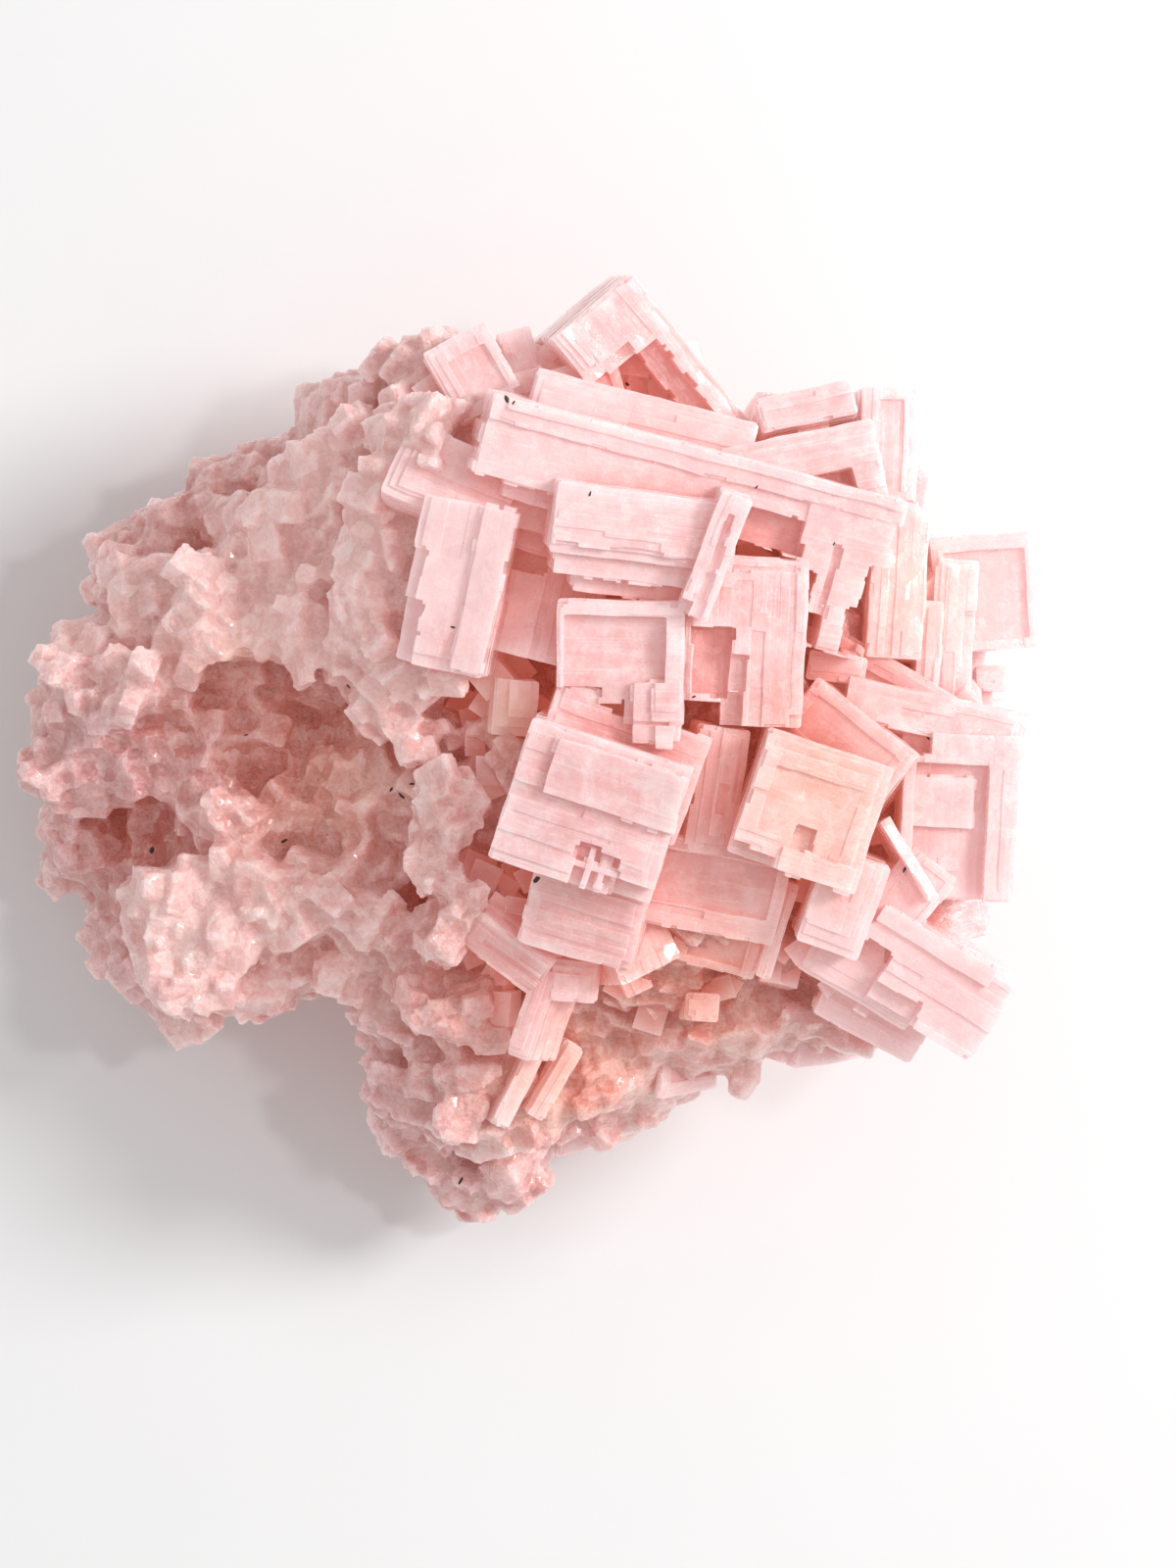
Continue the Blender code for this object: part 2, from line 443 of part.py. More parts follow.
def finish(mesh):
    """The joined crust and crystals as the finished piece, with its middle over the origin."""
    bm = bmesh.new()
    bm.from_mesh(mesh)
    fill_pores(bm)
    shift = Vector((-MIDDLE[0], -MIDDLE[1], 0)) * MM
    bmesh.ops.translate(bm, verts=bm.verts, vec=shift)
    cluster = linked("halite_cluster", mesh_of(bm, "halite_cluster"))
    cluster.data.materials.clear()
    cluster.data.materials.append(salt_material())


def salt_material():
    material = bpy.data.materials.new("pink_halite")
    material.use_nodes = True
    shader = material.node_tree.nodes["Principled BSDF"]
    shader.inputs["Base Color"].default_value = (0.83, 0.55, 0.53, 1)
    shader.inputs["Roughness"].default_value = 0.35
    shader.inputs["Metallic"].default_value = 0.0
    shader.inputs["IOR"].default_value = 1.54
    shader.inputs["Transmission Weight"].default_value = 0.3
    return material


def main():
    for obj in list(bpy.data.objects):
        bpy.data.objects.remove(obj)
    crust = make_crust()
    grow_crystals(crust)
    finish(with_modifiers(crust))


main()
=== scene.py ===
"""Looks for the pink halite cluster: striated salt crystals with stepped, hollow faces, grown
together with a granular salt crust, lying on a pale floor under soft light."""

import json
import math
import random
from collections import namedtuple

import bmesh
import bpy
import numpy as np
from mathutils import Euler, Matrix, Vector, noise
from mathutils.bvhtree import BVHTree
from mathutils.kdtree import KDTree

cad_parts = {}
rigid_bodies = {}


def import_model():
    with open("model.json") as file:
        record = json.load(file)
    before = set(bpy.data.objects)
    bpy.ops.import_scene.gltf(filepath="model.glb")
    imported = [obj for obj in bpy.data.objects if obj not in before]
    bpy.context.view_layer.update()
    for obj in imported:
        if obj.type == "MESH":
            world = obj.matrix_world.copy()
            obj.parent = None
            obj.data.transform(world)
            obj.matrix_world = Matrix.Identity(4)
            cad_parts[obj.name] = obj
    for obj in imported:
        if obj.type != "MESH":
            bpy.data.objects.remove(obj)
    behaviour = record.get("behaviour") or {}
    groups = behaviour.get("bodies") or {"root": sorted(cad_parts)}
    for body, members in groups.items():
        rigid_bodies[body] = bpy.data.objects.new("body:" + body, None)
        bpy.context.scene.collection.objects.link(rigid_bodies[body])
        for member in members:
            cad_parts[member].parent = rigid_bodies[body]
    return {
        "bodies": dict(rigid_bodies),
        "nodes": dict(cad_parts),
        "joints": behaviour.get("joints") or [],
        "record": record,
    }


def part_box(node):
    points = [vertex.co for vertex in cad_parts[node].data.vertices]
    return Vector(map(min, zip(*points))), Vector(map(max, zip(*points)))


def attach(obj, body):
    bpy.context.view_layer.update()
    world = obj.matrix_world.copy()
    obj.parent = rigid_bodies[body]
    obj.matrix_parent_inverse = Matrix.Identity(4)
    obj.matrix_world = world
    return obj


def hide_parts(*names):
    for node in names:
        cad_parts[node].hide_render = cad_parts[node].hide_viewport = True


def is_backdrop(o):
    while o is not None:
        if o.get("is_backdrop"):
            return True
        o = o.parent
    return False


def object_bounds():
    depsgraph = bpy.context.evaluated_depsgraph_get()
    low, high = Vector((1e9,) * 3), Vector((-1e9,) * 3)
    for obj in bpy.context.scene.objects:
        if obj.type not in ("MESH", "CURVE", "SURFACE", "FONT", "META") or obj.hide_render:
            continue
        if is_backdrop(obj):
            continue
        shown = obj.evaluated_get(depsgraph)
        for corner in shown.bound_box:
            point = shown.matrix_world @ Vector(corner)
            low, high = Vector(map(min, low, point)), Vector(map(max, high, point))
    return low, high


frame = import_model()
CAD_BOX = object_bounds()

MM = 0.001
MIDDLE = (-1.3, -0.6)  # of the whole piece, in the tables below, in millimetres

# Crust, in millimetres
FINE_VOXEL = 0.44
COARSE_VOXEL = 1.1
LUMP_SEED = Vector((7.3, 2.1, 4.7))
RUGGED = ((7.0, 1.3), (3.4, 0.8))  # (wavelength, height) of the crust's own roughness
FACETS = ((520, 0.22, 0.7), (2600, 0.3, 0.3))  # how many, how tilted, how uneven
DOMAINS = 330  # places on the crust where the blocks of salt all lie one way
BLOCKS = 7000
BLOCK_SIZES = (0.9, 3.6)
FILLERS = 70
FILLER_SIZES = (1.3, 3.2)

# Crystals, in millimetres
FILL = 1.2  # widest gap between the cuts of a crystal's grid
WAVER = ((5.0, 0.16), (1.6, 0.07))  # (wavelength, height) of the bends in their faces
EDGE_ROUND = 0.35
TRIANGLES = 190000  # in each of the two pieces
CELL = 0.8 * MM  # of the grid in which hollows and edges are told apart

# Light and camera
WORLD = 0.57
KEY_PLACE = (0.72, 0.24, 0.60)
KEY_SIZE = 0.3
KEY_POWER = 6.4
SPARKLE_PLACE = (0.36, 0.10, 0.80)
SPARKLE_SIZE = 0.06
SPARKLE_POWER = 0.8
LENS = 130
FRAME_HEIGHT = 160  # at the focus height, in millimetres
FOCUS_HEIGHT = 40
VIEW_MIDDLE = (5.4, -3.5)

Crystal = namedtuple(
    "Crystal", "name at size turn lean rim floor boxes", defaults=((0, 0), None, 0, ())
)

CRYSTALS = (
    # The long plates across the top
    Crystal("long_plate", (16.6, 28.7, 54.0), (43.0, 2.6, 10), -15, (6, 7), None, 0, (
        (+1, (-21.5, 12.0), (-6.8, -1.3), (-10, -0.8)),
        (+1, (12.0, 20.8), (-15.0, -1.3), (-10, -0.5)),
        (-1, (12.0, 14.0), (-15.0, -8.0), (-10, 0.0)),
        (-1, (14.0, 16.2), (-15.0, -12.2), (-10, 0.0)),
        (-1, (19.6, 20.8), (-15.0, -6.0), (-10, 0.0)),
        (-1, (18.4, 19.6), (-15.0, -10.6), (-10, 0.0)),
        (-1, (15.4, 16.2), (-12.2, -5.0), (-1.3, 0.0)),
        (-1, (6.0, 12.0), (-6.8, -3.2), (-3.0, 0.0)),
    )),
    Crystal("front_plate", (11.2, 21.8, 57.0), (18.4, 7.0, 10), -8, (8, 8), None, 0, (
        (-1, (-9.2, 6.0), (-3.5, -2.6), (-0.9, 0.0)),
        (+1, (-8.4, 5.2), (-5.6, -3.5), (-10, -1.8)),
        (+1, (-6.0, 5.2), (-7.4, -5.6), (-10, -3.4)),
    )),
    Crystal("front_finger", (18.0, 19.0, 57.3), (3.2, 13.0, 10), -21, (8, 6), None, 0, (
        (-1, (-0.2, 0.5), (-6.5, 4.6), (-0.9, 0.0)),
        (-1, (-1.6, -0.6), (-6.5, -5.0), (-2.0, 0.0)),
    )),
    Crystal("back_bar", (11.0, 33.6, 49.5), (23.0, 4.3, 9), -14, (-8, 2)),
    Crystal("step_left", (0.2, 24.0, 52.5), (8.0, 9.0, 10), -17, (5, 0), None, 0, (
        (-1, (-4.0, 4.0), (-4.5, -2.6), (-2.8, 0.0)),
        (-1, (-4.0, 4.0), (-2.6, 0.2), (-1.4, 0.0)),
    )),
    # The crystal with its corner up and a hollow face
    Crystal("roof_crystal", (12.5, 36.5, 46.5), (21.2, 10.6, 14), -50, (-4, 9), None, 0, (
        (-1, (-4.0, 10.8), (0.8, 2.9), (-2.4, 0.0)),
        (-1, (-4.0, 10.8), (-5.5, 0.8), (-6.0, 0.0)),
        (-1, (-5.6, -4.0), (-5.5, 0.4), (-1.2, 0.0)),
        (-1, (-8.0, 10.8), (4.6, 5.5), (-1.5, 0.0)),
    )),
    Crystal("roof_foot", (5.2, 35.8, 45.0), (8.0, 7.2, 12), 16, (-6, 4)),
    Crystal("roof_foot_left", (1.0, 37.4, 42.5), (5.0, 7.0, 12), -24, (-10, -4)),
    # Upper right
    Crystal("upper_frame", (26.8, 27.0, 50.0), (17.0, 9.4, 10), 12, (-3, 4), (0, 3.2, 0, 4.4), 3.0),
    Crystal("upper_thin_plate", (27.4, 34.6, 47.5), (9.9, 3.6, 10), 13, (-5, 3)),
    Crystal("upper_block", (36.0, 30.8, 45.0), (6.0, 11.6, 14), -2, (0, 5)),
    Crystal("shoulder_block", (36.9, 17.2, 44.5), (5.8, 16.0, 14), -4, (-2, 7), None, 0, (
        (-1, (1.6, 3.1), (6.4, 8.0), (-5, 0.0)),
    )),
    # Right edge
    Crystal("right_cube", (45.9, 16.0, 41.0), (10.6, 11.8, 12), 4, (2, 3), (1.2, 1.0, 1.0, 1.6), 0.8),
    Crystal("right_column", (42.6, 11.4, 42.5), (4.4, 16.0, 13), -3, (0, 6), None, 0, (
        (-1, (0.9, 2.2), (-8.0, 2.4), (-1.2, 0.0)),
    )),
    Crystal("right_rib", (40.0, 9.6, 44.0), (2.4, 11.0, 10), -4, (0, 4)),
    Crystal("right_chip", (46.9, 7.4, 37.0), (3.2, 2.6, 8), 0),
    Crystal("right_pin", (46.0, 4.6, 35.5), (2.0, 4.0, 8), 3),
    # The face-on cubes in the middle
    Crystal("framed_cube", (8.6, 8.6, 54.0), (12.7, 12.4, 13), -1, (4, -2), (0.7, 1.8, 0, 1.6), 1.4, (
        (-1, (-6.4, -2.2), (-6.2, -2.6), (-13, 0.0)),
        (-1, (-2.2, 0.4), (-6.2, -4.2), (-5, 0.0)),
        (+1, (1.4, 6.0), (-7.8, -2.0), (-13, -0.5)),
        (+1, (3.6, 5.4), (-8.4, -2.0), (-13, 0.0)),
    )),
    Crystal("stepped_cube", (21.2, 10.8, 52.0), (12.0, 17.0, 13), -3, (2, 3), None, 0, (
        (-1, (-6.0, -2.2), (-8.5, -6.2), (-13, 0.0)),
        (-1, (-5.2, -1.4), (-5.4, 1.2), (-2.4, 0.0)),
        (-1, (-1.4, 0.2), (-5.0, -1.4), (-1.2, 0.0)),
        (-1, (-2.2, 0.0), (-8.5, -5.4), (-1.6, 0.0)),
        (-1, (-6.0, 5.2), (7.1, 7.5), (-0.5, 0.0)),
    )),
    Crystal("second_finger", (25.6, 15.0, 51.5), (2.2, 7.0, 9), -12, (4, 3)),
    Crystal("behind_frame", (1.4, 15.0, 49.0), (11.0, 12.5, 12), -14, (5, -5), None, 0, (
        (-1, (-5.5, -1.0), (2.6, 6.3), (-1.4, 0.0)),
    )),
    # The big cubes of the lower middle
    Crystal("big_cube", (5.6, -6.4, 55.0), (16.8, 14.8, 15), -18, (5, -2), None, 0, (
        (+1, (-5.1, 8.2), (0.6, 6.3), (-1.0, 0.7)),
        (-1, (4.4, 8.4), (-7.4, -5.6), (-3.0, 0.0)),
        (-1, (0.0, 4.4), (-7.4, -3.4), (-1.6, 0.0)),
        (+1, (1.2, 1.8), (-7.0, -3.4), (-1.6, -0.4)),
        (+1, (2.6, 3.2), (-7.0, -3.4), (-1.6, -0.6)),
        (+1, (0.0, 4.4), (-5.4, -4.8), (-1.6, -0.5)),
    )),
    Crystal("big_cube_back", (8.4, -1.2, 51.5), (16.4, 12.4, 12), -20, (3, 2), None, 0, (
        (-1, (-3.4, -0.6), (4.7, 6.2), (-12, 0.0)),
        (-1, (-0.6, 8.2), (5.4, 6.2), (-12, 0.0)),
    )),
    Crystal("wall_right", (18.4, -4.2, 49.5), (5.0, 13.0, 12), -8, (6, 12)),
    Crystal("yellow_cube", (27.8, -6.2, 53.5), (13.2, 13.2, 13), -18, (2, 4), None, 0, (
        (-1, (-1.0, 1.2), (-4.0, -1.6), (-1.6, 0.0)),
        (+1, (-1.8, 6.0), (-6.6, -4.2), (-1.0, 0.5)),
        (-1, (-6.6, -2.6), (-6.6, -5.6), (-3.0, 0.0)),
    )),
    Crystal("yellow_foot", (31.0, -15.6, 50.5), (6.6, 10.0, 13), -20, (5, 2)),
    # Right, below the middle
    Crystal("hopper_cube", (43.0, -7.0, 46.5), (11.8, 17.0, 15), -3, (6, 6), (1.2, 3.2, 0, 3.0), 1.8, (
        (+1, (-5.2, 1.2), (-1.0, 4.0), (-4.0, -0.8)),
        (+1, (-1.8, 0.4), (-5.6, -4.2), (-4.0, -1.6)),
        (-1, (-6.0, -3.2), (6.6, 8.5), (-3.0, 0.0)),
        (-1, (-6.0, -3.4), (-8.5, -4.6), (-15, 0.0)),
    )),
    Crystal("yellow_fin", (38.0, -11.0, 47.0), (1.4, 9.6, 8), 32, (0, 8)),
    Crystal("slope_plate", (31.2, 0.4, 48.5), (13.0, 7.5, 12), -38, (6, -8)),
    Crystal("ridge_plate", (40.8, 3.4, 46.0), (19.0, 4.6, 14), -11, (-10, 6)),
    Crystal("dark_floor", (34.6, 4.6, 44.0), (14.0, 9.5, 12), -30, (4, -6)),
    Crystal("small_step", (30.6, 8.2, 46.0), (6.0, 3.0, 8), -8, (4, 4)),
    # Lower right
    Crystal("tilted_block", (39.1, -23.3, 46.0), (17.4, 9.4, 14), -32, (6, 5), None, 0, (
        (-1, (-8.7, 1.4), (-4.7, -2.4), (-1.6, 0.0)),
        (-1, (-8.7, -4.0), (-4.7, 0.6), (-3.4, 0.0)),
        (+1, (-7.2, 6.0), (2.8, 4.7), (-1.0, 0.5)),
        (-1, (-8.7, -7.2), (2.6, 4.7), (-2.2, 0.0)),
    )),
    Crystal("tilted_step", (33.2, -23.2, 43.8), (13.0, 5.0, 10), -31, (6, 3)),
    Crystal("tilted_foot", (34.4, -27.4, 40.0), (11.4, 5.0, 10), -28, (10, 0)),
    Crystal("side_wedge", (37.8, -15.0, 45.0), (6.0, 9.0, 12), -38, (0, 8)),
    # Lower middle
    Crystal("pink_facet", (4.8, -17.0, 48.5), (12.0, 8.4, 13), -14, (14, -10)),
    Crystal("pink_wing", (10.4, -18.8, 46.0), (7.0, 8.0, 13), 24, (4, 14)),
    Crystal("broad_facet", (17.8, -14.0, 47.5), (15.0, 9.5, 15), -12, (12, 6)),
    Crystal("lower_plate", (18.6, -19.6, 43.5), (9.0, 6.0, 12), -16, (16, 4)),
    Crystal("fin_right", (24.6, -18.4, 45.5), (1.5, 10.0, 10), -18, (4, 6)),
    Crystal("fin_right_low", (22.4, -19.4, 43.8), (1.2, 8.0, 10), -14, (4, 6)),
    Crystal("white_block", (4.2, -23.6, 43.5), (4.8, 4.2, 9), -6, (6, 4)),
    Crystal("white_blade", (-0.4, -26.8, 43.5), (2.6, 9.4, 8), -19, (4, -20)),
    Crystal("dark_box", (-3.0, -20.8, 44.0), (9.2, 4.6, 9), -34, (30, -4)),
    Crystal("pale_slab_low", (-8.0, -17.4, 46.0), (4.0, 8.2, 11), -22, (5, 5)),
    Crystal("pale_slab", (-9.4, -8.2, 47.0), (5.0, 10.6, 12), -8, (4, -6)),
    Crystal("orange_cube", (17.2, -26.4, 38.5), (3.4, 3.0, 8), -4, (0, 6)),
    Crystal("curled_chip", (10.4, -23.8, 39.5), (3.0, 2.2, 6), 24, (0, 10)),
    # The lobe at the bottom
    Crystal("lilac_facet", (-7.6, -36.4, 33.5), (5.6, 8.4, 8), -12, (4, -12)),
    Crystal("glassy_facet", (-13.4, -36.4, 28.0), (6.4, 6.2, 8), 24, (2, -22)),
    Crystal("long_blade", (-1.6, -34.8, 34.5), (2.0, 9.0, 7), -26, (0, 14)),
    Crystal("long_blade_right", (2.0, -34.2, 33.5), (2.0, 8.6, 7), -30, (0, 10)),
    Crystal("glassy_step", (-9.4, -27.8, 37.5), (9.0, 5.0, 9), 8, (14, -8)),
    # Between the crust and the cubes
    Crystal("slanted_prism", (-13.6, 3.2, 43.5), (5.4, 8.0, 10), 22, (2, -8)),
    Crystal("upright_prism", (-16.8, 4.4, 41.5), (2.6, 4.6, 8), 8, (0, -4)),
    Crystal("amber_crystal", (-2.1, 4.2, 45.5), (4.8, 5.8, 9), -4, (3, 4)),
    Crystal("small_cube", (-2.8, 0.1, 44.5), (2.2, 2.2, 8), 3, (5, 5)),
    Crystal("small_cube_low", (-6.2, -6.9, 44.5), (3.0, 3.0, 8), 18, (8, 6)),
    Crystal("link_block", (-4.4, -1.6, 42.0), (6.5, 7.5, 9), -10, (8, -6)),
    Crystal("white_prism", (-8.1, 16.2, 53.5), (9.4, 17.0, 16), -12, (5, -6), None, 0, (
        (+1, (1.6, 4.7), (-8.0, 8.5), (-1.0, 0.6)),
        (-1, (-4.7, -2.6), (-8.5, -2.0), (-3.0, 0.0)),
        (-1, (-4.7, -3.4), (-2.0, 3.0), (-1.6, 0.0)),
    )),
    Crystal("white_cap", (-8.0, 27.2, 51.5), (12.6, 8.0, 14), -24, (-16, -4)),
    Crystal("white_cap_side", (-10.6, 33.0, 48.5), (8.0, 6.0, 12), -8, (-14, -6)),
    Crystal("ridge_crystal", (-6.2, 38.2, 45.5), (7.2, 8.4, 14), 29, (-8, 8)),
    Crystal("peak_crystal", (-1.2, 39.2, 42.5), (3.6, 7.6, 12), 16, (-8, 6)),
    Crystal("corner_crystal", (-11.4, 39.2, 42.5), (6.8, 5.8, 12), 14, (-12, -6)),
    Crystal("cream_block", (-41.8, 5.8, 35.0), (6.8, 6.6, 11), -1, (4, -6)),
    Crystal("cream_block_left", (-46.6, 7.2, 32.5), (5.4, 5.6, 10), 6, (6, -12)),
    Crystal("slab_step", (-32.8, 14.6, 37.5), (8.6, 9.0, 10), -24, (-6, -8)),
    Crystal("slab_ledge", (-22.6, 11.6, 39.5), (8.8, 6.4, 9), 6, (-4, -6)),
    Crystal("recess_cube", (-25.0, 3.0, 31.0), (5.6, 5.0, 8), 14, (-10, 8)),
    Crystal("recess_chip", (-18.2, 0.6, 33.0), (4.4, 4.6, 8), -22, (8, -10)),
    Crystal("recess_chip_left", (-33.0, 1.6, 30.5), (4.6, 4.4, 8), 36, (6, 8)),
)

# Cubes low on the flanks: heading from the origin, height, size, and turn about the three axes
FLANK_CUBES = (
    (-66, 22, 8.0, (20, 35, 10)), (-56, 11, 9.0, (60, 10, 30)), (-44, 20, 10.0, (15, 40, 5)),
    (-34, 28, 8.5, (5, 12, 20)), (-30, 10, 9.5, (35, 20, 50)), (-20, 20, 11.0, (10, 25, 15)),
    (-12, 30, 9.0, (50, 15, 25)), (-8, 11, 10.0, (20, 5, 40)), (2, 22, 12.0, (30, 45, 10)),
    (12, 12, 9.0, (12, 18, 35)), (18, 28, 9.5, (40, 30, 15)), (24, 18, 10.5, (25, 15, 45)),
    (34, 10, 9.0, (15, 50, 20)), (38, 27, 10.0, (45, 20, 10)), (48, 17, 11.0, (30, 10, 60)),
    (58, 29, 10.0, (8, 12, 40)), (64, 11, 9.0, (25, 40, 0)), (72, 22, 10.5, (5, 30, 20)),
    (82, 32, 8.0, (35, 5, 30)), (88, 14, 9.5, (10, 50, 10)), (100, 24, 8.0, (20, 15, 50)),
    (112, 13, 7.5, (40, 10, 25)), (-84, 10, 8.0, (30, 20, 15)),
    (-110, 14, 6.5, (45, 20, 10)), (150, 12, 6.5, (30, 10, 60)), (178, 9, 6.0, (20, 40, 30)),
)

# Lumps of the crust: centre and half sizes
LUMPS = (
    # The mass inside
    (4, 1, 7, 36, 31, 15), (19, 1, 24, 26, 29, 23), (12, 18, 26, 20, 14, 22), (10, -12, 26, 20, 15, 20),
    (-20, 4, 14, 26, 24, 13), (2, -27, 14, 17, 14, 17), (-33, -12, 17, 10, 10, 9),
    # Left edge, from the top down
    (-42.2, 18.8, 18, 5.0, 5.8, 9), (-39.2, 15.6, 24, 5.4, 5.4, 8), (-35.8, 22.6, 18, 6.5, 5.5, 9),
    (-31.0, 26.6, 19, 6, 5, 9), (-26.5, 28.8, 21, 6, 4.5, 9), (-21.2, 32.8, 23, 4.6, 4.8, 9),
    (-16.4, 35.0, 26, 5.5, 4.6, 9), (-10.4, 38.4, 30, 5.5, 4.6, 9),
    (-48.0, 7.2, 23, 5.4, 5.5, 9), (-43.0, 9.8, 26, 6, 5.0, 8), (-47.2, -1.6, 21, 6.6, 5.4, 9),
    (-49.6, 3.4, 20, 3.6, 3.6, 6),
    (-39.8, -1.8, 24, 5.6, 4.4, 7), (-48.8, -9.8, 13, 4.0, 5.2, 8), (-43.6, -10.8, 11, 5.8, 4.8, 7),
    (-43.6, -18.6, 12, 5.0, 6.8, 8), (-36.0, -19.0, 26, 6.0, 6.4, 8), (-36.4, -25.0, 18, 5.0, 3.8, 7),
    (-40.0, -23.4, 16, 4.6, 4.0, 7),
    (-31.6, -17.6, 28, 4.6, 5.4, 7), (-27.2, -22.2, 22, 6.6, 4.4, 8), (-22.0, -15.4, 30, 8.0, 3.9, 7.4),
    (-18.4, -22.2, 22, 7.2, 4.6, 9), (-31.6, -6.6, 30, 5.6, 3.4, 5), (-33.6, -8.4, 27, 3.6, 3.0, 4),
    (-12.0, -22.0, 27, 6.0, 4.8, 8), (-27.6, -9.0, 27, 4.4, 3.2, 5),
    # The broad shelf of the upper left
    (-21.6, 19.0, 28, 12, 8.6, 12), (-31.4, 13.6, 27, 7.6, 5.6, 10), (-14.6, 15.0, 33, 8, 9, 13),
    (-26.0, 23.4, 27, 8, 5, 10), (-19.0, 27.4, 29, 8, 5.6, 12), (-13.0, 27.0, 36, 6, 6, 11),
    (-15.5, 17.0, 38, 6.5, 10.0, 9.5), (-11.5, 27.5, 40, 6, 6, 9), (-12.5, 9.0, 36, 5.0, 4.5, 9),
    (-37.0, 12.0, 27, 4.6, 4.4, 8), (-13.4, 9.8, 33, 5.4, 3.6, 9), (-24.0, 13.0, 29, 6, 3.4, 9),
    # The hollow under it
    (-24.6, -1.0, 15, 13, 9, 12), (-14.6, -6.5, 25, 8, 8, 12), (-11.6, 0.5, 27, 6, 8, 12),
    (-20.0, -7.4, 22, 7, 5, 9), (-25.0, 2.0, 22, 12, 7, 8), (-17.0, -8.5, 26, 7, 5, 8),
    # The lobe at the bottom
    (-14.6, -29.0, 18, 3.6, 5.0, 8), (-9.8, -27.6, 27, 6.6, 3.8, 7), (-14.2, -36.6, 18, 4.8, 3.9, 6),
    (-10.8, -40.4, 16, 3.6, 3.4, 5),
    (-8.0, -35.5, 21, 6, 6.5, 9), (-0.6, -34.5, 23, 7, 7, 9), (6.8, -33.0, 23, 6.6, 5.6, 8),
    (-7.2, -45.0, 13, 2.8, 5.0, 5), (-2.8, -44.4, 16, 3.8, 4.4, 6), (-5.6, -47.0, 13, 2.2, 3.4, 4),
    (15.0, -29.6, 25, 7, 4.6, 8), (23.0, -28.0, 26, 8, 4.0, 8), (31.0, -27.8, 26, 6.6, 3.6, 8),
    (21.6, -33.2, 25, 1.5, 3.2, 1.8),
    # Behind the crystals
    (5.4, 35.5, 26, 10, 8, 12), (28.0, 26.0, 27, 10, 9, 15), (37.0, 10.0, 24, 8, 12, 16),
    (38.5, -9.0, 24, 7.5, 11, 15), (33.0, -21.0, 26, 8, 6, 12),
)

# Crystals that the crust has grown over
BURIED = (
    "cream_block", "cream_block_left", "slab_step", "slab_ledge", "recess_cube", "recess_chip",
    "recess_chip_left", "slanted_prism", "upright_prism", "pale_slab_low", "glassy_step", "glassy_facet",
    "link_block", "small_cube", "small_cube_low", "pale_slab", "corner_crystal", "white_cap_side", "lilac_facet",
)

# Ledges of the crust: thickness, a point of the top, its slope, and the outline
LEDGES = (
    (9.0, (-24, 16, 38.0), (0.32, 0.1), (
        (-39, 16.5), (-33, 20.5), (-28.4, 26.5), (-23.4, 32.5), (-16.6, 34.5), (-10.6, 29.5), (-11.6, 20.5),
        (-12.6, 11.5), (-10.6, 6.5), (-14.1, 5), (-16.1, 7.5), (-19.6, 9.3), (-23.6, 12), (-26.1, 10.5),
        (-30.6, 9.7), (-34.1, 7.5), (-37.1, 9.3), (-39.6, 11.5),
    )),
    (8.0, (-37, 8, 34.5), (0.25, 0.1), (
        (-48.6, 8.5), (-44, 12.2), (-39, 12.5), (-34.1, 8.5), (-35.6, 4.5), (-39.6, 2), (-43.6, 3),
        (-47.1, 3), (-50.6, 6.5),
    )),
    (6.0, (-34, -2, 31.0), (0.18, 0.12), (
        (-51.6, 2.5), (-45.6, 3), (-39.6, 2), (-34.6, -2.5), (-28.6, -3.5), (-21.6, -3.5), (-20.1, -6.5),
        (-24.6, -8.5), (-28.4, -10.3), (-31.8, -9.3), (-34.1, -7.3), (-35.6, -5), (-38.1, -5.7),
        (-40.6, -6.1), (-44.1, -5), (-47.6, -6), (-50.8, -5),
    )),
    (12.0, (-15, 18, 47.0), (0.4, 0.15), (
        (-21, 10), (-20.5, 18), (-18.5, 26), (-13.5, 31), (-8, 33), (-8, 10), (-10, 6), (-14, 6.5),
        (-18, 8),
    )),
    (9.0, (-26, 2, 30.0), (0.1, 0.1), (
        (-38.6, 5.5), (-30.6, 9.5), (-20.6, 9), (-13.6, 5.5), (-12.6, -1), (-16, -6), (-25, -7.5), (-34, -6),
    )),
    (8.0, (-17, -8, 34.0), (0.25, 0.1), (
        (-24, -4.5), (-18, -3), (-11, -3), (-9.5, -8), (-10.5, -13), (-17, -13.5), (-23, -11.5),
    )),
    (5.0, (-28, -16, 35.0), (0.12, 0.05), (
        (-40.6, -13.5), (-34.6, -12), (-29.6, -11.5), (-21.6, -10.7), (-15.1, -12.5), (-14.1, -16.5),
        (-16.1, -19.5), (-21.6, -20), (-28.6, -21), (-30.6, -24), (-35.6, -27.5), (-39.6, -24.5),
        (-41.4, -19.5),
    )),
)

# Dark specks of dirt: where they show from above, and how long
SPECKS = (
    (-2.9, 35.8, 0.9), (-2.2, 35.4, 0.5), (9.4, 37.3, 0.8), (5.6, 26.1, 0.6), (10.5, 15.3, 0.7),
    (0.2, -13.2, 1.0), (-19.1, 6.5, 0.7), (-14.6, -4.0, 0.8), (-13.6, -4.7, 1.1), (-12.6, -3.5, 0.7),
    (-39.1, -10.3, 1.0), (-25.6, -9.3, 0.9), (37.7, -12.3, 0.7), (-7.6, -44.0, 1.0), (40.1, 1.2, 0.6),
    (16.2, 5.4, 0.5), (22.6, 26.8, 0.5), (-8.4, 12.5, 0.5), (30.5, 21.0, 0.4), (-29.5, 1.5, 0.6),
)

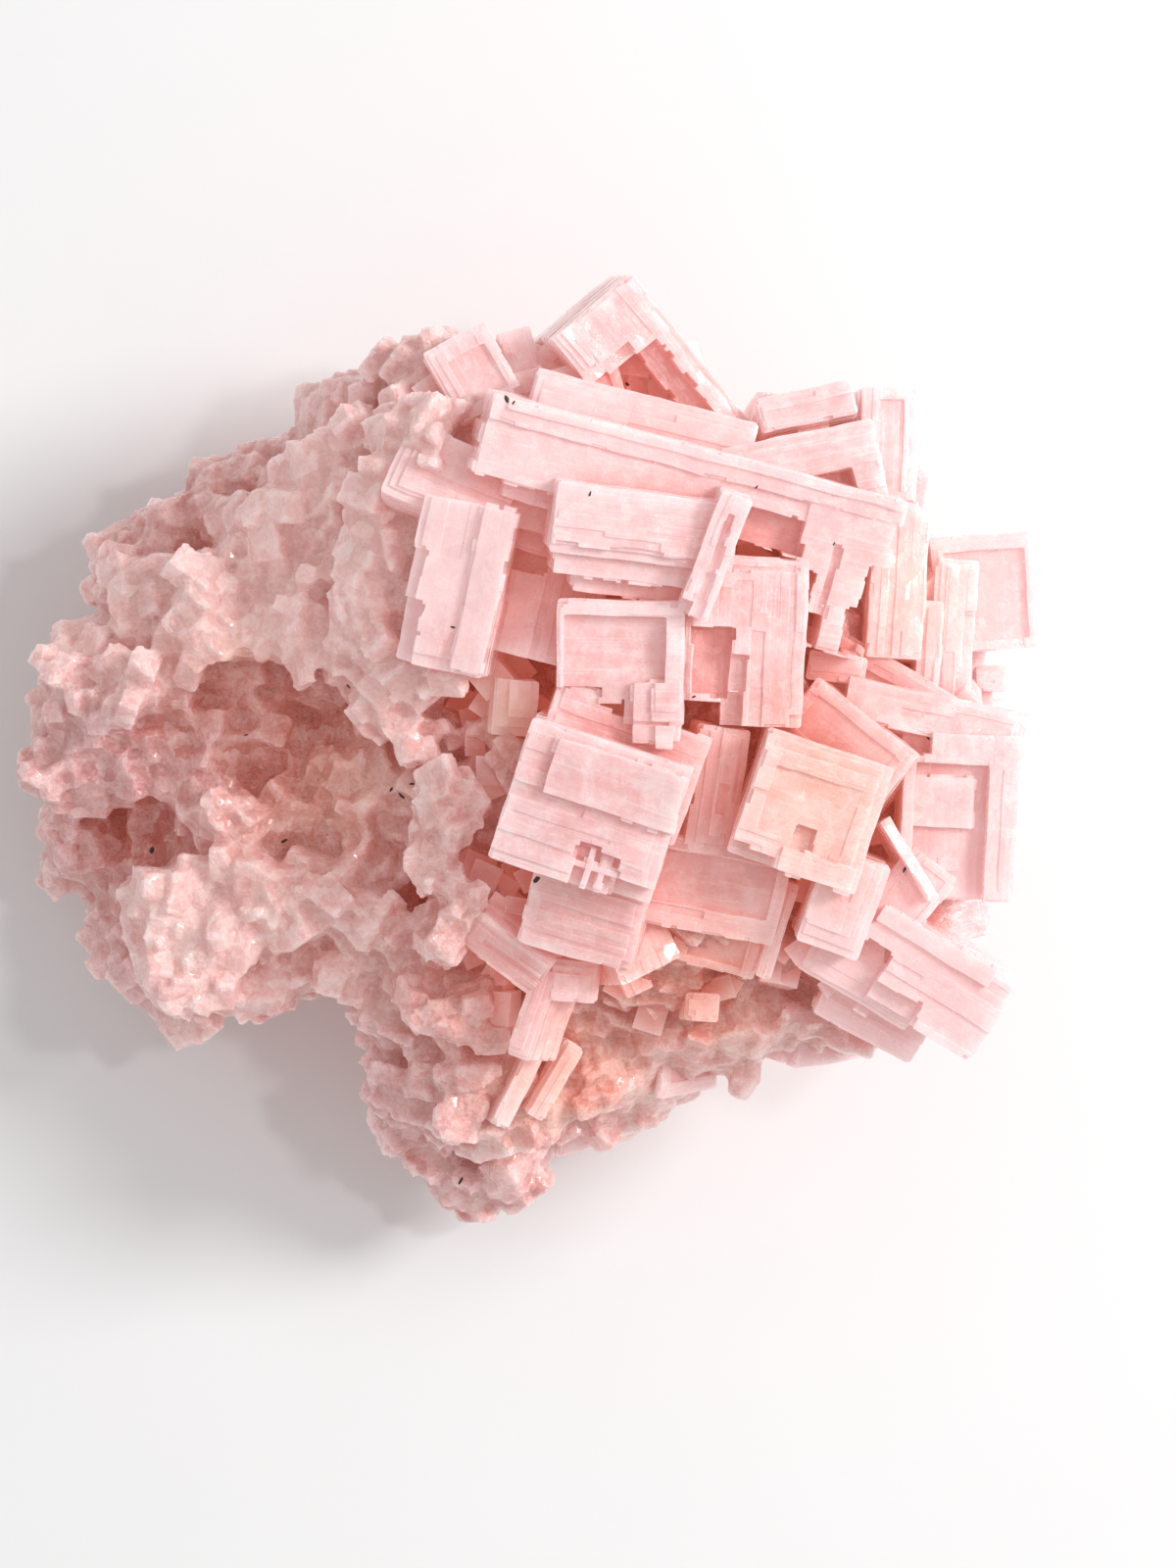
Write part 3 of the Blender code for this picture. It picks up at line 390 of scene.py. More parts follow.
# Tinted places: (tint, centre, radius, strength). Some of these tints are partly painted light and shade, as
# said below.
TINTS = (
    # pale: paler salt, and painted light on faces lit brightest; in the material it also brightens the painted
    # emission
    ("pale", (-24, 20, 38), 16, 1.0), ("pale", (-8, 20, 52), 13, 1.0), ("pale", (46, 16, 40), 12, 1.0),
    ("pale", (8, 30, 52), 14, 0.7), ("pale", (38, -22, 44), 14, 0.9), ("pale", (-36, -18, 32), 9, 0.8),
    ("pale", (28, -16, 50), 8, 0.6),
    ("amber", (-20, -3, 30), 9, 0.8), ("amber", (17, -24, 38), 9, 1.0), ("amber", (4, -33, 32), 9, 0.8),
    ("amber", (-2, 4, 44), 5, 1.0), ("amber", (28, -5, 54), 9, 0.8), ("amber", (-31, 8, 34), 5, 0.8),
    ("amber", (38, 16, 44), 7, 0.5),
    # rosy: deeper pink, and painted shade in recesses; in the material it also sets painted emission on crystals
    # shaded by their neighbours
    ("rosy", (-27, -1, 26), 10, 0.9), ("rosy", (-41, -9, 18), 8, 1.0), ("rosy", (-6, -24, 38), 9, 0.7),
    ("rosy", (14, 37, 40), 8, 0.7), ("rosy", (22, 2, 44), 8, 0.5), ("rosy", (-33, 23, 24), 9, 0.6),
    ("rosy", (30, 4, 46), 10, 0.5), ("rosy", (10, -16, 44), 8, 0.5), ("rosy", (14, -22, 40), 10, 1.0),
    ("rosy", (4, -35, 30), 7, 0.5),
    # mauve: a duller pink, and painted shade on low slopes that face away from the key light
    ("mauve", (-33, 24, 26), 11, 0.9), ("mauve", (-24, 31, 30), 7, 0.8), ("mauve", (-47, -2, 27), 8, 0.9),
    ("mauve", (-45, -12, 20), 9, 0.9), ("mauve", (-42, -21, 22), 7, 0.8), ("mauve", (-15, -36, 24), 9, 0.8),
    ("mauve", (-42, -2, 32), 9, 0.8), ("rosy", (-33, 0, 28), 8, 0.7),
    ("mauve", (-6, -44, 16), 7, 0.7), ("mauve", (-14, 37, 36), 6, 0.6), ("mauve", (34, -25, 40), 8, 0.5),
)


def linked(name, mesh):
    obj = bpy.data.objects.new(name, mesh)
    bpy.context.scene.collection.objects.link(obj)
    return obj


def mesh_of(bm, name):
    mesh = bpy.data.meshes.new(name)
    bm.to_mesh(mesh)
    bm.free()
    return mesh


def with_modifiers(obj):
    """The object's mesh with its modifiers applied; the object itself goes."""
    graph = bpy.context.evaluated_depsgraph_get()
    mesh = bpy.data.meshes.new_from_object(obj.evaluated_get(graph))
    bpy.data.objects.remove(obj)
    return mesh


def points_of(mesh):
    flat = np.empty(len(mesh.vertices) * 3, np.float32)
    mesh.vertices.foreach_get("co", flat)
    return flat.reshape(-1, 3)


def set_points(mesh, points):
    mesh.vertices.foreach_set("co", np.ascontiguousarray(points, np.float32).ravel())
    mesh.update()


# ---------------------------------------------------------------- the crystals


def crystal_matrix(crystal):
    """From the crystal's own axes to the cluster's."""
    lean_x, lean_y = (math.radians(angle) for angle in crystal.lean)
    turn = Matrix.Rotation(math.radians(crystal.turn), 4, "Z")
    lean = Matrix.Rotation(lean_x, 4, "X") @ Matrix.Rotation(lean_y, 4, "Y")
    return Matrix.Translation(Vector(crystal.at) * MM) @ turn @ lean


def crystal_boxes(crystal, rng):
    """The boxes of salt, added and missing, that make up a crystal."""
    width, height, depth = crystal.size
    x, y = width / 2, height / 2
    boxes = [(+1, (-x, x), (-y, y), (-depth, 0.0))]
    if crystal.rim:
        left, right, bottom, top = crystal.rim
        boxes.append((-1, (-x + left, x - right), (-y + bottom, y - top), (-crystal.floor, 0.0)))
    for box in crystal.boxes:
        boxes += [box, *ragged(box, rng)]
    return boxes


def growth_steps(crystal, rng):
    """Fine steps on a crystal: ridges along it, terraces, layered sides, chipped corners."""
    width, height, depth = crystal.size
    x, y = width / 2, height / 2
    small = min(width, height)
    lengthways = width >= height
    long_half, short_half = (x, y) if lengthways else (y, x)
    steps = []
    # Ridges along the longer way, some of them broken off
    place = -short_half
    while place < short_half:
        wide = rng.uniform(0.25, 0.6 + 0.09 * small)
        if rng.random() < 0.62:
            start = -long_half if rng.random() < 0.45 else rng.uniform(-1, 0.4) * long_half
            end = long_half if rng.random() < 0.45 else start + rng.uniform(0.3, 1.3) * long_half
            run, band = (start, min(end, long_half)), (place, min(place + wide, short_half))
            limits = (run, band) if lengthways else (band, run)
            steps.append((-1, *limits, (-rng.uniform(0.05, 0.26), 0)))
        place += wide
    # Terraces down to one corner
    side_x, side_y = rng.choice((-1, 1)), rng.choice((-1, 1))
    inset = 0.0
    for level in range(rng.randint(1, 3), 0, -1):
        inset += rng.uniform(0.25, 0.07 * small + 0.5)
        deep = level * rng.uniform(0.14, 0.3)
        edge_x, edge_y = (inset * rng.uniform(0.6, 1.4) for _ in range(2))
        steps.append((-1, tuple(sorted((side_x * x, side_x * (x - edge_x)))), (-y, y), (-deep, 0)))
        steps.append((-1, (-x, x), tuple(sorted((side_y * y, side_y * (y - edge_y)))), (-deep, 0)))
    # A hollow in the face
    if rng.random() < 0.35 and small > 5:
        sides = [rng.uniform(0.12, 0.3) * small for _ in range(4)]
        steps.append((-1, (-x + sides[0], x - sides[1]), (-y + sides[2], y - sides[3]),
                      (-rng.uniform(0.2, 0.6), 0)))
    # Layers on the sides
    for axis, half in ((0, x), (1, y)):
        for sign in (-1, 1):
            z = 0.0
            while z > -min(depth, 9):
                z -= rng.uniform(0.3, 2.0)
                thick = rng.uniform(0.25, 1.4)
                limits = [(-x, x), (-y, y)]
                limits[axis] = tuple(sorted((sign * half, sign * (half - rng.uniform(0.08, 0.4)))))
                steps.append((-1, *limits, (z - thick, z)))
                z -= thick
    # Notches in the rim, and chips
    for axis, half, along in ((0, x, y), (1, y, x)):
        for sign in (-1, 1):
            place = -along
            while place < along:
                wide = rng.uniform(0.4, 2.6)
                if rng.random() < 0.45:
                    limits = [(place, min(place + wide, along))] * 2
                    limits[axis] = tuple(sorted((sign * half, sign * (half - rng.uniform(0.12, 0.4)))))
                    steps.append((-1, *limits, (-rng.uniform(0.15, 0.6), 0)))
                place += wide
    for _ in range(rng.randint(1, 4)):
        sx, sy = rng.choice((-1, 1)), rng.choice((-1, 1))
        cut = [rng.uniform(0.25, 0.08 * small + 0.5) for _ in range(3)]
        steps.append((-1, tuple(sorted((sx * (x - cut[0]), sx * x))),
                      tuple(sorted((sy * (y - cut[1]), sy * y))), (-cut[2], 0.3)))
    return steps


def ragged(box, rng):
    """Small teeth round the sides of a box, so that its outline isn't straight."""
    kind, x, y, z = box
    teeth = []
    for axis, (near, far) in enumerate((x, y)):
        start, end = (y, x)[axis]
        for side, sign in ((near, -1), (far, 1)):
            place = start
            while place < end:
                wide = rng.uniform(0.35, 2.4)
                if rng.random() < 0.5:
                    reach = sign * rng.uniform(0.12, 0.5)
                    across = tuple(sorted((side, side + reach)))
                    along = (place, min(place + wide, end))
                    level = rng.uniform(0.1, 0.8) * min(0.6, z[1] - z[0])
                    tall = (z[0], z[1] - level) if kind > 0 else (z[0] + level, z[1])
                    teeth.append((kind, across, along, tall) if axis == 0 else (kind, along, across, tall))
                place += wide
    return teeth


def fill_cuts(cuts, widest):
    """The cuts, without near doubles, and with more between those that are far apart."""
    kept = [cuts[0]]
    for cut in cuts[1:]:
        if cut - kept[-1] > 0.05:
            kept.append(cut)
    filled = []
    for low, high in zip(kept[:-1], kept[1:]):
        pieces = max(1, math.ceil((high - low) / widest))
        filled += [low + (high - low) * n / pieces for n in range(pieces)]
    return filled + [kept[-1]]


def salt_cells(boxes, widest):
    """Space cut along every side of the boxes, and which of the cells are salt."""
    sides = [sorted({float(limit) for box in boxes for limit in box[axis]}) for axis in (1, 2, 3)]
    sides = [fill_cuts(cuts, widest) for cuts in sides]
    middles = [np.add(s[:-1], s[1:]) / 2 for s in sides]
    salt = np.zeros([len(m) for m in middles], bool)
    for kind, *limits in boxes:
        inside = [(low < m) & (m < high) for (low, high), m in zip(limits, middles)]
        salt[np.ix_(*inside)] = kind > 0
    return sides, salt


def join_diagonals(salt):
    """Fills cells beside any two that meet only along an edge or a corner."""
    while True:
        before = salt.sum()
        for axis in range(3):
            rows = np.moveaxis(salt, axis, 0)
            a, b, c, d = rows[:, :-1, :-1], rows[:, 1:, 1:], rows[:, 1:, :-1], rows[:, :-1, 1:]
            c |= a & b & ~c & ~d
            a |= c & d & ~a & ~b
        if salt.sum() == before:
            return


def grid_mesh(sides, salt, name):
    """One closed mesh of the salt cells."""
    padded = np.pad(salt, 1).astype(np.int8)
    counts = [len(s) for s in sides]
    quads = []
    for axis in range(3):
        u, v = (axis + 1) % 3, (axis + 2) % 3
        step = np.diff(padded, axis=axis)
        cells = np.argwhere(step != 0)
        outward = step[tuple(cells.T)] < 0
        corner = cells - 1
        corner[:, axis] += 1
        ring = []
        for du, dv in ((0, 0), (1, 0), (1, 1), (0, 1)):
            place = corner.copy()
            place[:, u] += du
            place[:, v] += dv
            ring.append((place[:, 0] * counts[1] + place[:, 1]) * counts[2] + place[:, 2])
        ring = np.array(ring).T
        ring[~outward] = ring[~outward][:, ::-1]
        quads.append(ring)
    quads = np.concatenate(quads)
    used, quads = np.unique(quads, return_inverse=True)
    quads = quads.reshape(-1, 4)
    i, j, k = used // (counts[1] * counts[2]), used // counts[2] % counts[1], used % counts[2]
    points = np.stack([np.array(sides[0])[i], np.array(sides[1])[j], np.array(sides[2])[k]], 1)
    mesh = bpy.data.meshes.new(name)
    mesh.from_pydata(points.tolist(), [], quads.tolist())
    return mesh


def round_corners(points, crystal):
    """Rounds the upright edges of a crystal's own block."""
    half = np.array(crystal.size[:2]) / 2
    r = min(EDGE_ROUND, 0.16 * min(crystal.size[:2]))
    over = np.abs(points[:, :2]) - (half - r)
    both = (over > 0).all(1) & (over <= r + 1e-6).all(1)
    length = np.hypot(over[:, 0], over[:, 1])
    pull = np.where(both & (length > r), r / np.maximum(length, 1e-9), 1.0)
    signs = np.sign(points[:, :2])
    rounded = signs * ((half - r) + over * pull[:, None])
    points[:, :2] = np.where(both[:, None], rounded, points[:, :2])
    return points


def waver(points, seed):
    """Bends the faces a little, by layers of noise."""
    moved = points.copy()
    shift = Vector((seed % 97, seed % 89, seed % 83))
    for n, place in enumerate(points):
        for wavelength, height in WAVER:
            moved[n] += height * np.array(noise.noise_vector(Vector(place) / wavelength + shift))
    return moved


def crystal_object(crystal, number, matrix):
    rng = random.Random(crystal.name)
    boxes = crystal_boxes(crystal, rng) + growth_steps(crystal, rng)
    width, height, _ = crystal.size
    r = min(EDGE_ROUND, 0.16 * min(width, height))
    for half, axis in ((width / 2, 1), (height / 2, 2)):
        for inset in (0.3 * r, r):
            line = [(0, 0), (0, 0), (0, 0)]
            line[axis - 1] = (half - inset, half - inset)
            boxes.append((0, *line))
            line[axis - 1] = (inset - half, inset - half)
            boxes.append((0, *line))
    sides, salt = salt_cells(boxes, FILL)
    join_diagonals(salt)
    mesh = grid_mesh(sides, salt, crystal.name)
    points = waver(round_corners(points_of(mesh).astype(float), crystal), number * 31 + 7)
    set_points(mesh, points * MM)
    mesh.transform(matrix)
    bm = bmesh.new()
    bm.from_mesh(mesh)
    bmesh.ops.smooth_vert(bm, verts=bm.verts, factor=0.32, use_axis_x=True, use_axis_y=True, use_axis_z=True)
    bmesh.ops.triangulate(bm, faces=bm.faces)
    bm.to_mesh(mesh)
    bm.free()
    owner = mesh.attributes.new("owner", "INT", "FACE")
    owner.data.foreach_set("value", np.full(len(mesh.polygons), number + 1, np.int32))
    return mesh


# ---------------------------------------------------------------- the crust


def soup_of_lumps():
    """Every lump, ledge and buried block of the crust as its own closed body, in one mesh."""
    bm = bmesh.new()
    for x, y, z, *radii in LUMPS:
        matrix = Matrix.LocRotScale(Vector((x, y, z)) * MM, None, Vector(radii) * MM)
        bmesh.ops.create_icosphere(bm, subdivisions=4, radius=1.0, matrix=matrix)
    for crystal in CRYSTALS:
        if crystal.name in BURIED:
            scale = Matrix.Diagonal((*(Vector(crystal.size) * MM), 1))
            drop = Matrix.Translation((0, 0, -crystal.size[2] / 2 * MM))
            bmesh.ops.create_cube(bm, size=1.0, matrix=crystal_matrix(crystal) @ drop @ scale)
    for thick, middle, slope, outline in LEDGES:
        top = [Vector((x, y, middle[2] + (x - middle[0]) * slope[0] + (y - middle[1]) * slope[1]))
               for x, y in outline]
        upper = [bm.verts.new(corner * MM) for corner in top]
        lower = [bm.verts.new((corner - Vector((0, 0, thick))) * MM) for corner in top]
        bm.faces.new(upper)
        bm.faces.new(lower[::-1])
        for n in range(len(top)):
            m = (n + 1) % len(top)
            bm.faces.new((upper[n], lower[n], lower[m], upper[m]))
    bmesh.ops.recalc_face_normals(bm, faces=bm.faces)
    return mesh_of(bm, "lumps")


def break_in_facets(mesh, count, tilt, level, rng):
    """Breaks the crust's surface into flat faces at slightly different levels."""
    tree = KDTree(count)
    planes = []
    for number in range(count):
        vertex = mesh.vertices[rng.randrange(len(mesh.vertices))]
        normal = vertex.normal + Vector([rng.gauss(0, tilt) for _ in range(3)])
        planes.append((vertex.co.copy(), normal.normalized(), rng.uniform(-level, level) * MM))
        tree.insert(vertex.co, number)
    tree.balance()
    for vertex in mesh.vertices:
        _, number, _ = tree.find(vertex.co)
        middle, normal, rise = planes[number]
        over = (vertex.co - middle).dot(normal)
        over = max(-2 * MM, min(2 * MM, over))
        vertex.co += normal * (rise - 0.8 * over)
    mesh.update()


def roughen(mesh, layers, level=0.0):
    """Moves each point of the crust along its normal, to a level and by layers of noise."""
    normals = [v.normal.copy() for v in mesh.vertices]
    for vertex, normal in zip(mesh.vertices, normals):
        rise = level
        for wavelength, height in layers:
            rise += height * noise.noise(vertex.co / (wavelength * MM) + LUMP_SEED)
        vertex.co += normal * rise * MM


def voxels(mesh, size, name):
    obj = linked(name, mesh)
    remesh = obj.modifiers.new("Run together", "REMESH")
    remesh.mode = "VOXEL"
    remesh.voxel_size = size * MM
    return with_modifiers(obj)


CUBE = np.array([(x, y, z) for x in (-0.5, 0.5) for y in (-0.5, 0.5) for z in (-0.5, 0.5)])
CUBE_SIDES = ((0, 1, 3, 2), (4, 6, 7, 5), (0, 4, 5, 1), (2, 3, 7, 6), (0, 2, 6, 4), (1, 5, 7, 3))


def boxes_apart(matrices):
    """Cubes set by the matrices, in a few meshes, so that no cube touches another of its mesh."""
    groups = []
    for matrix in matrices:
        middle = np.array(matrix.translation)
        reach = math.sqrt(sum(axis.xyz.length_squared for axis in matrix.col[:3])) / 2
        for group in groups:
            places, reaches, members = group
            if (np.linalg.norm(np.array(places) - middle, axis=1) > np.array(reaches) + reach).all():
                break
        else:
            group = ([], [], [])
            groups.append(group)
        group[0].append(middle)
        group[1].append(reach)
        group[2].append(matrix)
    meshes = []
    for _, _, members in groups:
        points, faces = [], []
        for matrix in members:
            cube = np.array(matrix)
            faces += [[len(points) + n for n in side] for side in CUBE_SIDES]
            points += (CUBE @ cube[:3, :3].T + cube[:3, 3]).tolist()
        mesh = bpy.data.meshes.new("blocks")
        mesh.from_pydata(points, [], faces)
        meshes.append(mesh)
    return meshes


def places_on(mesh, count, rng):
    """Random places on a mesh with their face normals."""
    areas = np.array([face.area for face in mesh.polygons])
    picks = np.searchsorted(np.cumsum(areas) / areas.sum(), [rng.random() for _ in range(count)])
    for pick in picks:
        face = mesh.polygons[int(pick)]
        corners = [mesh.vertices[n].co for n in face.vertices[:3]]
        a, b = sorted((rng.random(), rng.random()))
        yield corners[0] * a + corners[1] * (b - a) + corners[2] * (1 - b), face.normal.copy()


def crust_blocks(mesh, rng):
    """Flat blocks of salt let into the crust, lying the same way within each domain."""
    tree, frames = KDTree(DOMAINS), []
    for number, (place, normal) in enumerate(places_on(mesh, DOMAINS, rng)):
        up = (normal + Vector([rng.gauss(0, 0.22) for _ in range(3)])).normalized()
        spin = Matrix.Rotation(rng.uniform(0, math.tau), 4, "Z")
        frames.append(up.to_track_quat("Z", "Y").to_matrix().to_4x4() @ spin)
        tree.insert(place, number)
    tree.balance()
    low, high = BLOCK_SIZES
    matrices = []
    for place, normal in places_on(mesh, BLOCKS, rng):
        _, number, _ = tree.find(place)
        frame = frames[number]
        size = (low + (high - low) * rng.random() ** 2.2) * MM
        flat = Vector((size * rng.uniform(0.7, 1.6), size, size * rng.uniform(0.45, 0.9)))
        middle = place - normal * flat.z * rng.uniform(0.2, 0.5)
        if middle.z > 2.5 * MM:
            matrices.append(Matrix.Translation(middle) @ frame @ Matrix.Diagonal((*flat, 1)))
    return matrices


def cut_base(mesh):
    """Cuts the crust off flat at the ground, where it broke away, and closes the cut."""
    bm = bmesh.new()
    bm.from_mesh(mesh)
    cut = bmesh.ops.bisect_plane(
        bm, geom=bm.verts[:] + bm.edges[:] + bm.faces[:], dist=1e-7,
        plane_co=(0, 0, 0), plane_no=(0, 0, 1), clear_inner=True,
    )
    edges = [part for part in cut["geom_cut"] if isinstance(part, bmesh.types.BMEdge)]
    bmesh.ops.triangle_fill(bm, edges=edges, use_beauty=True, normal=(0, 0, -1))
    bmesh.ops.triangulate(bm, faces=bm.faces)
    bmesh.ops.recalc_face_normals(bm, faces=bm.faces)
    return mesh_of(bm, "crust")


def drip():
    """The small tongue that hangs out at the front edge."""
    bm = bmesh.new()
    for place, radii in (((21.8, -33.4, 25.5), (1.4, 3.0, 1.7)), ((21.0, -34.6, 25.2), (0.9, 2.0, 1.1))):
        matrix = Matrix.LocRotScale(Vector(place) * MM, None, Vector(radii) * MM)
        bmesh.ops.create_icosphere(bm, subdivisions=3, radius=1.0, matrix=matrix)
    return mesh_of(bm, "drip")


def make_crust():
    """The lumps run together, broken into facets, covered in blocks and cut flat below.

    Also a tree of the smooth lumps, for what is set into them.
    """
    rng = random.Random(11)
    fused = voxels(soup_of_lumps(), COARSE_VOXEL, "lumps")
    roughen(fused, RUGGED)
    tree = BVHTree.FromPolygons(*one_shape([fused]))
    for facets in FACETS:
        break_in_facets(fused, *facets, rng)
    roughen(fused, (), -0.6)
    points, faces = one_shape([fused, drip(), *boxes_apart(crust_blocks(fused, rng))])
    soup = bpy.data.meshes.new("soup")
    soup.from_pydata(points, [], faces)
    fine = voxels(soup, FINE_VOXEL, "fine")
    roughen(fine, ((2.4, 0.2), (1.1, 0.12)))
    return cut_base(fine), tree


def flank_crystal(crust_tree, heading, height, size, turns):
    """A cube set half into the crust's flank, found by looking inwards along its heading."""
    angle = math.radians(heading)
    outward = Vector((math.cos(angle), math.sin(angle), 0))
    start = outward * 0.2 + Vector((0, 0, height * MM))
    place, _, _, _ = crust_tree.ray_cast(start, -outward)
    return place - outward * 0.35 * size * MM


def flank_object(row, number, crust_tree):
    heading, height, size, turns = row
    middle = flank_crystal(crust_tree, *row)
    name = f"flank_{number}"
    block = Crystal(name, (0, 0, 0), (size, size, size), 0)
    spin = Euler([math.radians(t) for t in turns]).to_matrix().to_4x4()
    matrix = Matrix.Translation(middle) @ spin @ Matrix.Translation((0, 0, size / 2 * MM))
    return block, matrix


def fillers(crust, crystals, rng):
    """Small cubes that have grown in the deep gaps between the crystals."""
    group = BVHTree.FromPolygons(*one_shape([crust, *crystals]))
    matrices, tries = [], 0
    while len(matrices) < FILLERS:
        x, y = rng.uniform(-14, 50), rng.uniform(-30, 42)
        place, normal, _, _ = group.ray_cast(Vector((x, y, 90)) * MM, Vector((0, 0, -1)))
        if place is None or place.z > 44 * MM:
            continue
        round_about = []
        for turn in range(8):
            side = Vector((math.cos(turn * math.tau / 8), math.sin(turn * math.tau / 8), 0)) * 3.2 * MM
            beside, _, _, _ = group.ray_cast(Vector((place.x, place.y, 0.09)) + side, Vector((0, 0, -1)))
            round_about.append(beside.z if beside else 0.0)
        if sorted(round_about)[4] - place.z < 3 * MM or min(round_about) < 24 * MM:
            tries += 1
            if tries > 40000:
                break
            continue
        size = rng.uniform(*FILLER_SIZES) * MM
        spin = Euler([rng.gauss(0, 0.2), rng.gauss(0, 0.2), rng.uniform(0, math.tau)])
        shape = Vector((rng.uniform(0.7, 1.4), 1.0, 1.6)) * size
        matrices.append(Matrix.LocRotScale(place - Vector((0, 0, 0.5 * size)), spin, shape))
    return boxes_apart(matrices)


def dark_specks(salt, rng):
    """Small flat chips of dirt, half sunk in what shows from above."""
    tree = BVHTree.FromPolygons(*one_shape(salt))
    eye = Vector((*VIEW_MIDDLE, FOCUS_HEIGHT + LENS * FRAME_HEIGHT / 36)) * MM
    bm = bmesh.new()
    for x, y, length in SPECKS:
        place, normal, _, _ = tree.ray_cast(eye, Vector((x, y, FOCUS_HEIGHT)) * MM - eye)
        lie = normal.to_track_quat("Z", "Y") @ Euler((0, 0, rng.uniform(0, math.tau))).to_quaternion()
        shape = Vector((0.5, rng.uniform(0.16, 0.3), 0.12)) * length * MM
        chip = bmesh.ops.create_icosphere(bm, subdivisions=2, radius=1.0)["verts"]
        for vertex in chip:
            vertex.co *= rng.uniform(0.75, 1.15)
        bmesh.ops.transform(bm, matrix=Matrix.LocRotScale(place, lie, shape), verts=chip)
    return mesh_of(bm, "dark_specks")


def one_shape(meshes):
    """The points and faces of several meshes, as one list of each."""
    points, faces = [], []
    for mesh in meshes:
        first = len(points)
        points += [vertex.co.copy() for vertex in mesh.vertices]
        faces += [[first + n for n in face.vertices] for face in mesh.polygons]
    return points, faces


# ---------------------------------------------------------------- the joined cluster


def joined(mesh, others):
    """One closed mesh of all these bodies."""
    group = bpy.data.collections.new("others")
    bpy.context.scene.collection.children.link(group)
    for other in others:
        group.objects.link(bpy.data.objects.new("other", other))
    obj = linked("joined", mesh)
    union = obj.modifiers.new("Grow together", "BOOLEAN")
    union.operation = "UNION"
    union.operand_type = "COLLECTION"
    union.collection = group
    union.solver = "MANIFOLD"
    grown = with_modifiers(obj)
    for other in list(group.objects):
        bpy.data.objects.remove(other)
    bpy.data.collections.remove(group)
    return grown


def thinned(mesh, triangles):
    """The mesh with its flat places thinned out and its closed pores dropped."""
    obj = linked("thinned", mesh)
    thin = obj.modifiers.new("Thin out", "DECIMATE")
    thin.ratio = min(1.0, triangles / sum(len(p.vertices) - 2 for p in mesh.polygons))
    return only_skin(with_modifiers(obj))


def only_skin(mesh):
    """Drops the closed pores inside, which are shells turned inside out."""
    bm = bmesh.new()
    bm.from_mesh(mesh)
    seen, pores = set(), []
    for first in bm.verts:
        if first in seen:
            continue
        shell, waiting = {first}, [first]
        while waiting:
            vertex = waiting.pop()
            for edge in vertex.link_edges:
                neighbour = edge.other_vert(vertex)
                if neighbour not in shell:
                    shell.add(neighbour)
                    waiting.append(neighbour)
        seen |= shell
        highest = max(shell, key=lambda vertex: vertex.co.z)
        if highest.normal.z < 0 or len(shell) < 40:
            pores += shell
    bmesh.ops.delete(bm, geom=pores, context="VERTS")
    bm.to_mesh(mesh)
    bm.free()
    return mesh


def fill_space(meshes):
    """A grid over the whole cluster that is 1 where there is salt: (grid, its lowest corner)."""
    low = np.min([points_of(mesh).min(0) for mesh in meshes], axis=0) - 14 * MM
    high = np.max([points_of(mesh).max(0) for mesh in meshes], axis=0) + 14 * MM
    counts = np.ceil((high - low) / CELL).astype(int)
    full = np.zeros(counts, np.float32)
    down = Vector((0, 0, -1))
    for mesh in meshes:
        tree = BVHTree.FromPolygons(*one_shape([mesh]))
        for i, j in np.ndindex(*counts[:2]):
            start = Vector((low[0] + (i + 0.5) * CELL, low[1] + (j + 0.5) * CELL, high[2]))
            hits = []
            while True:
                place, _, _, _ = tree.ray_cast(start, down)
                if place is None:
                    break
                hits.append((place.z - low[2]) / CELL)
                start.z = place.z - 0.02 * MM
            for top, bottom in zip(hits[0::2], hits[1::2]):
                full[i, j, round(bottom):round(top)] = 1
    return full, low


def shares_round(points, full, low):
    """For each point, how much salt there is round it, close by and in a wider ball."""
    counts = full.shape
    waves = [np.fft.fftfreq(n, CELL) for n in counts[:2]] + [np.fft.rfftfreq(counts[2], CELL)]
    square = waves[0][:, None, None] ** 2 + waves[1][None, :, None] ** 2 + waves[2] ** 2
    spectrum = np.fft.rfftn(full)
    place = (points - low) / CELL - 0.5
    base = np.floor(place).astype(int)
    part = place - base
    shares = []
    for radius in (0.9, 4.0):
        soft = np.fft.irfftn(spectrum * np.exp(-2 * (math.pi * radius * MM) ** 2 * square), s=counts)
        share = np.zeros(len(points))
        for corner in np.ndindex(2, 2, 2):
            weight = np.prod(np.where(corner, part, 1 - part), axis=1)
            at = base + corner
            share += weight * soft[at[:, 0], at[:, 1], at[:, 2]]
        shares.append(share)
    return shares


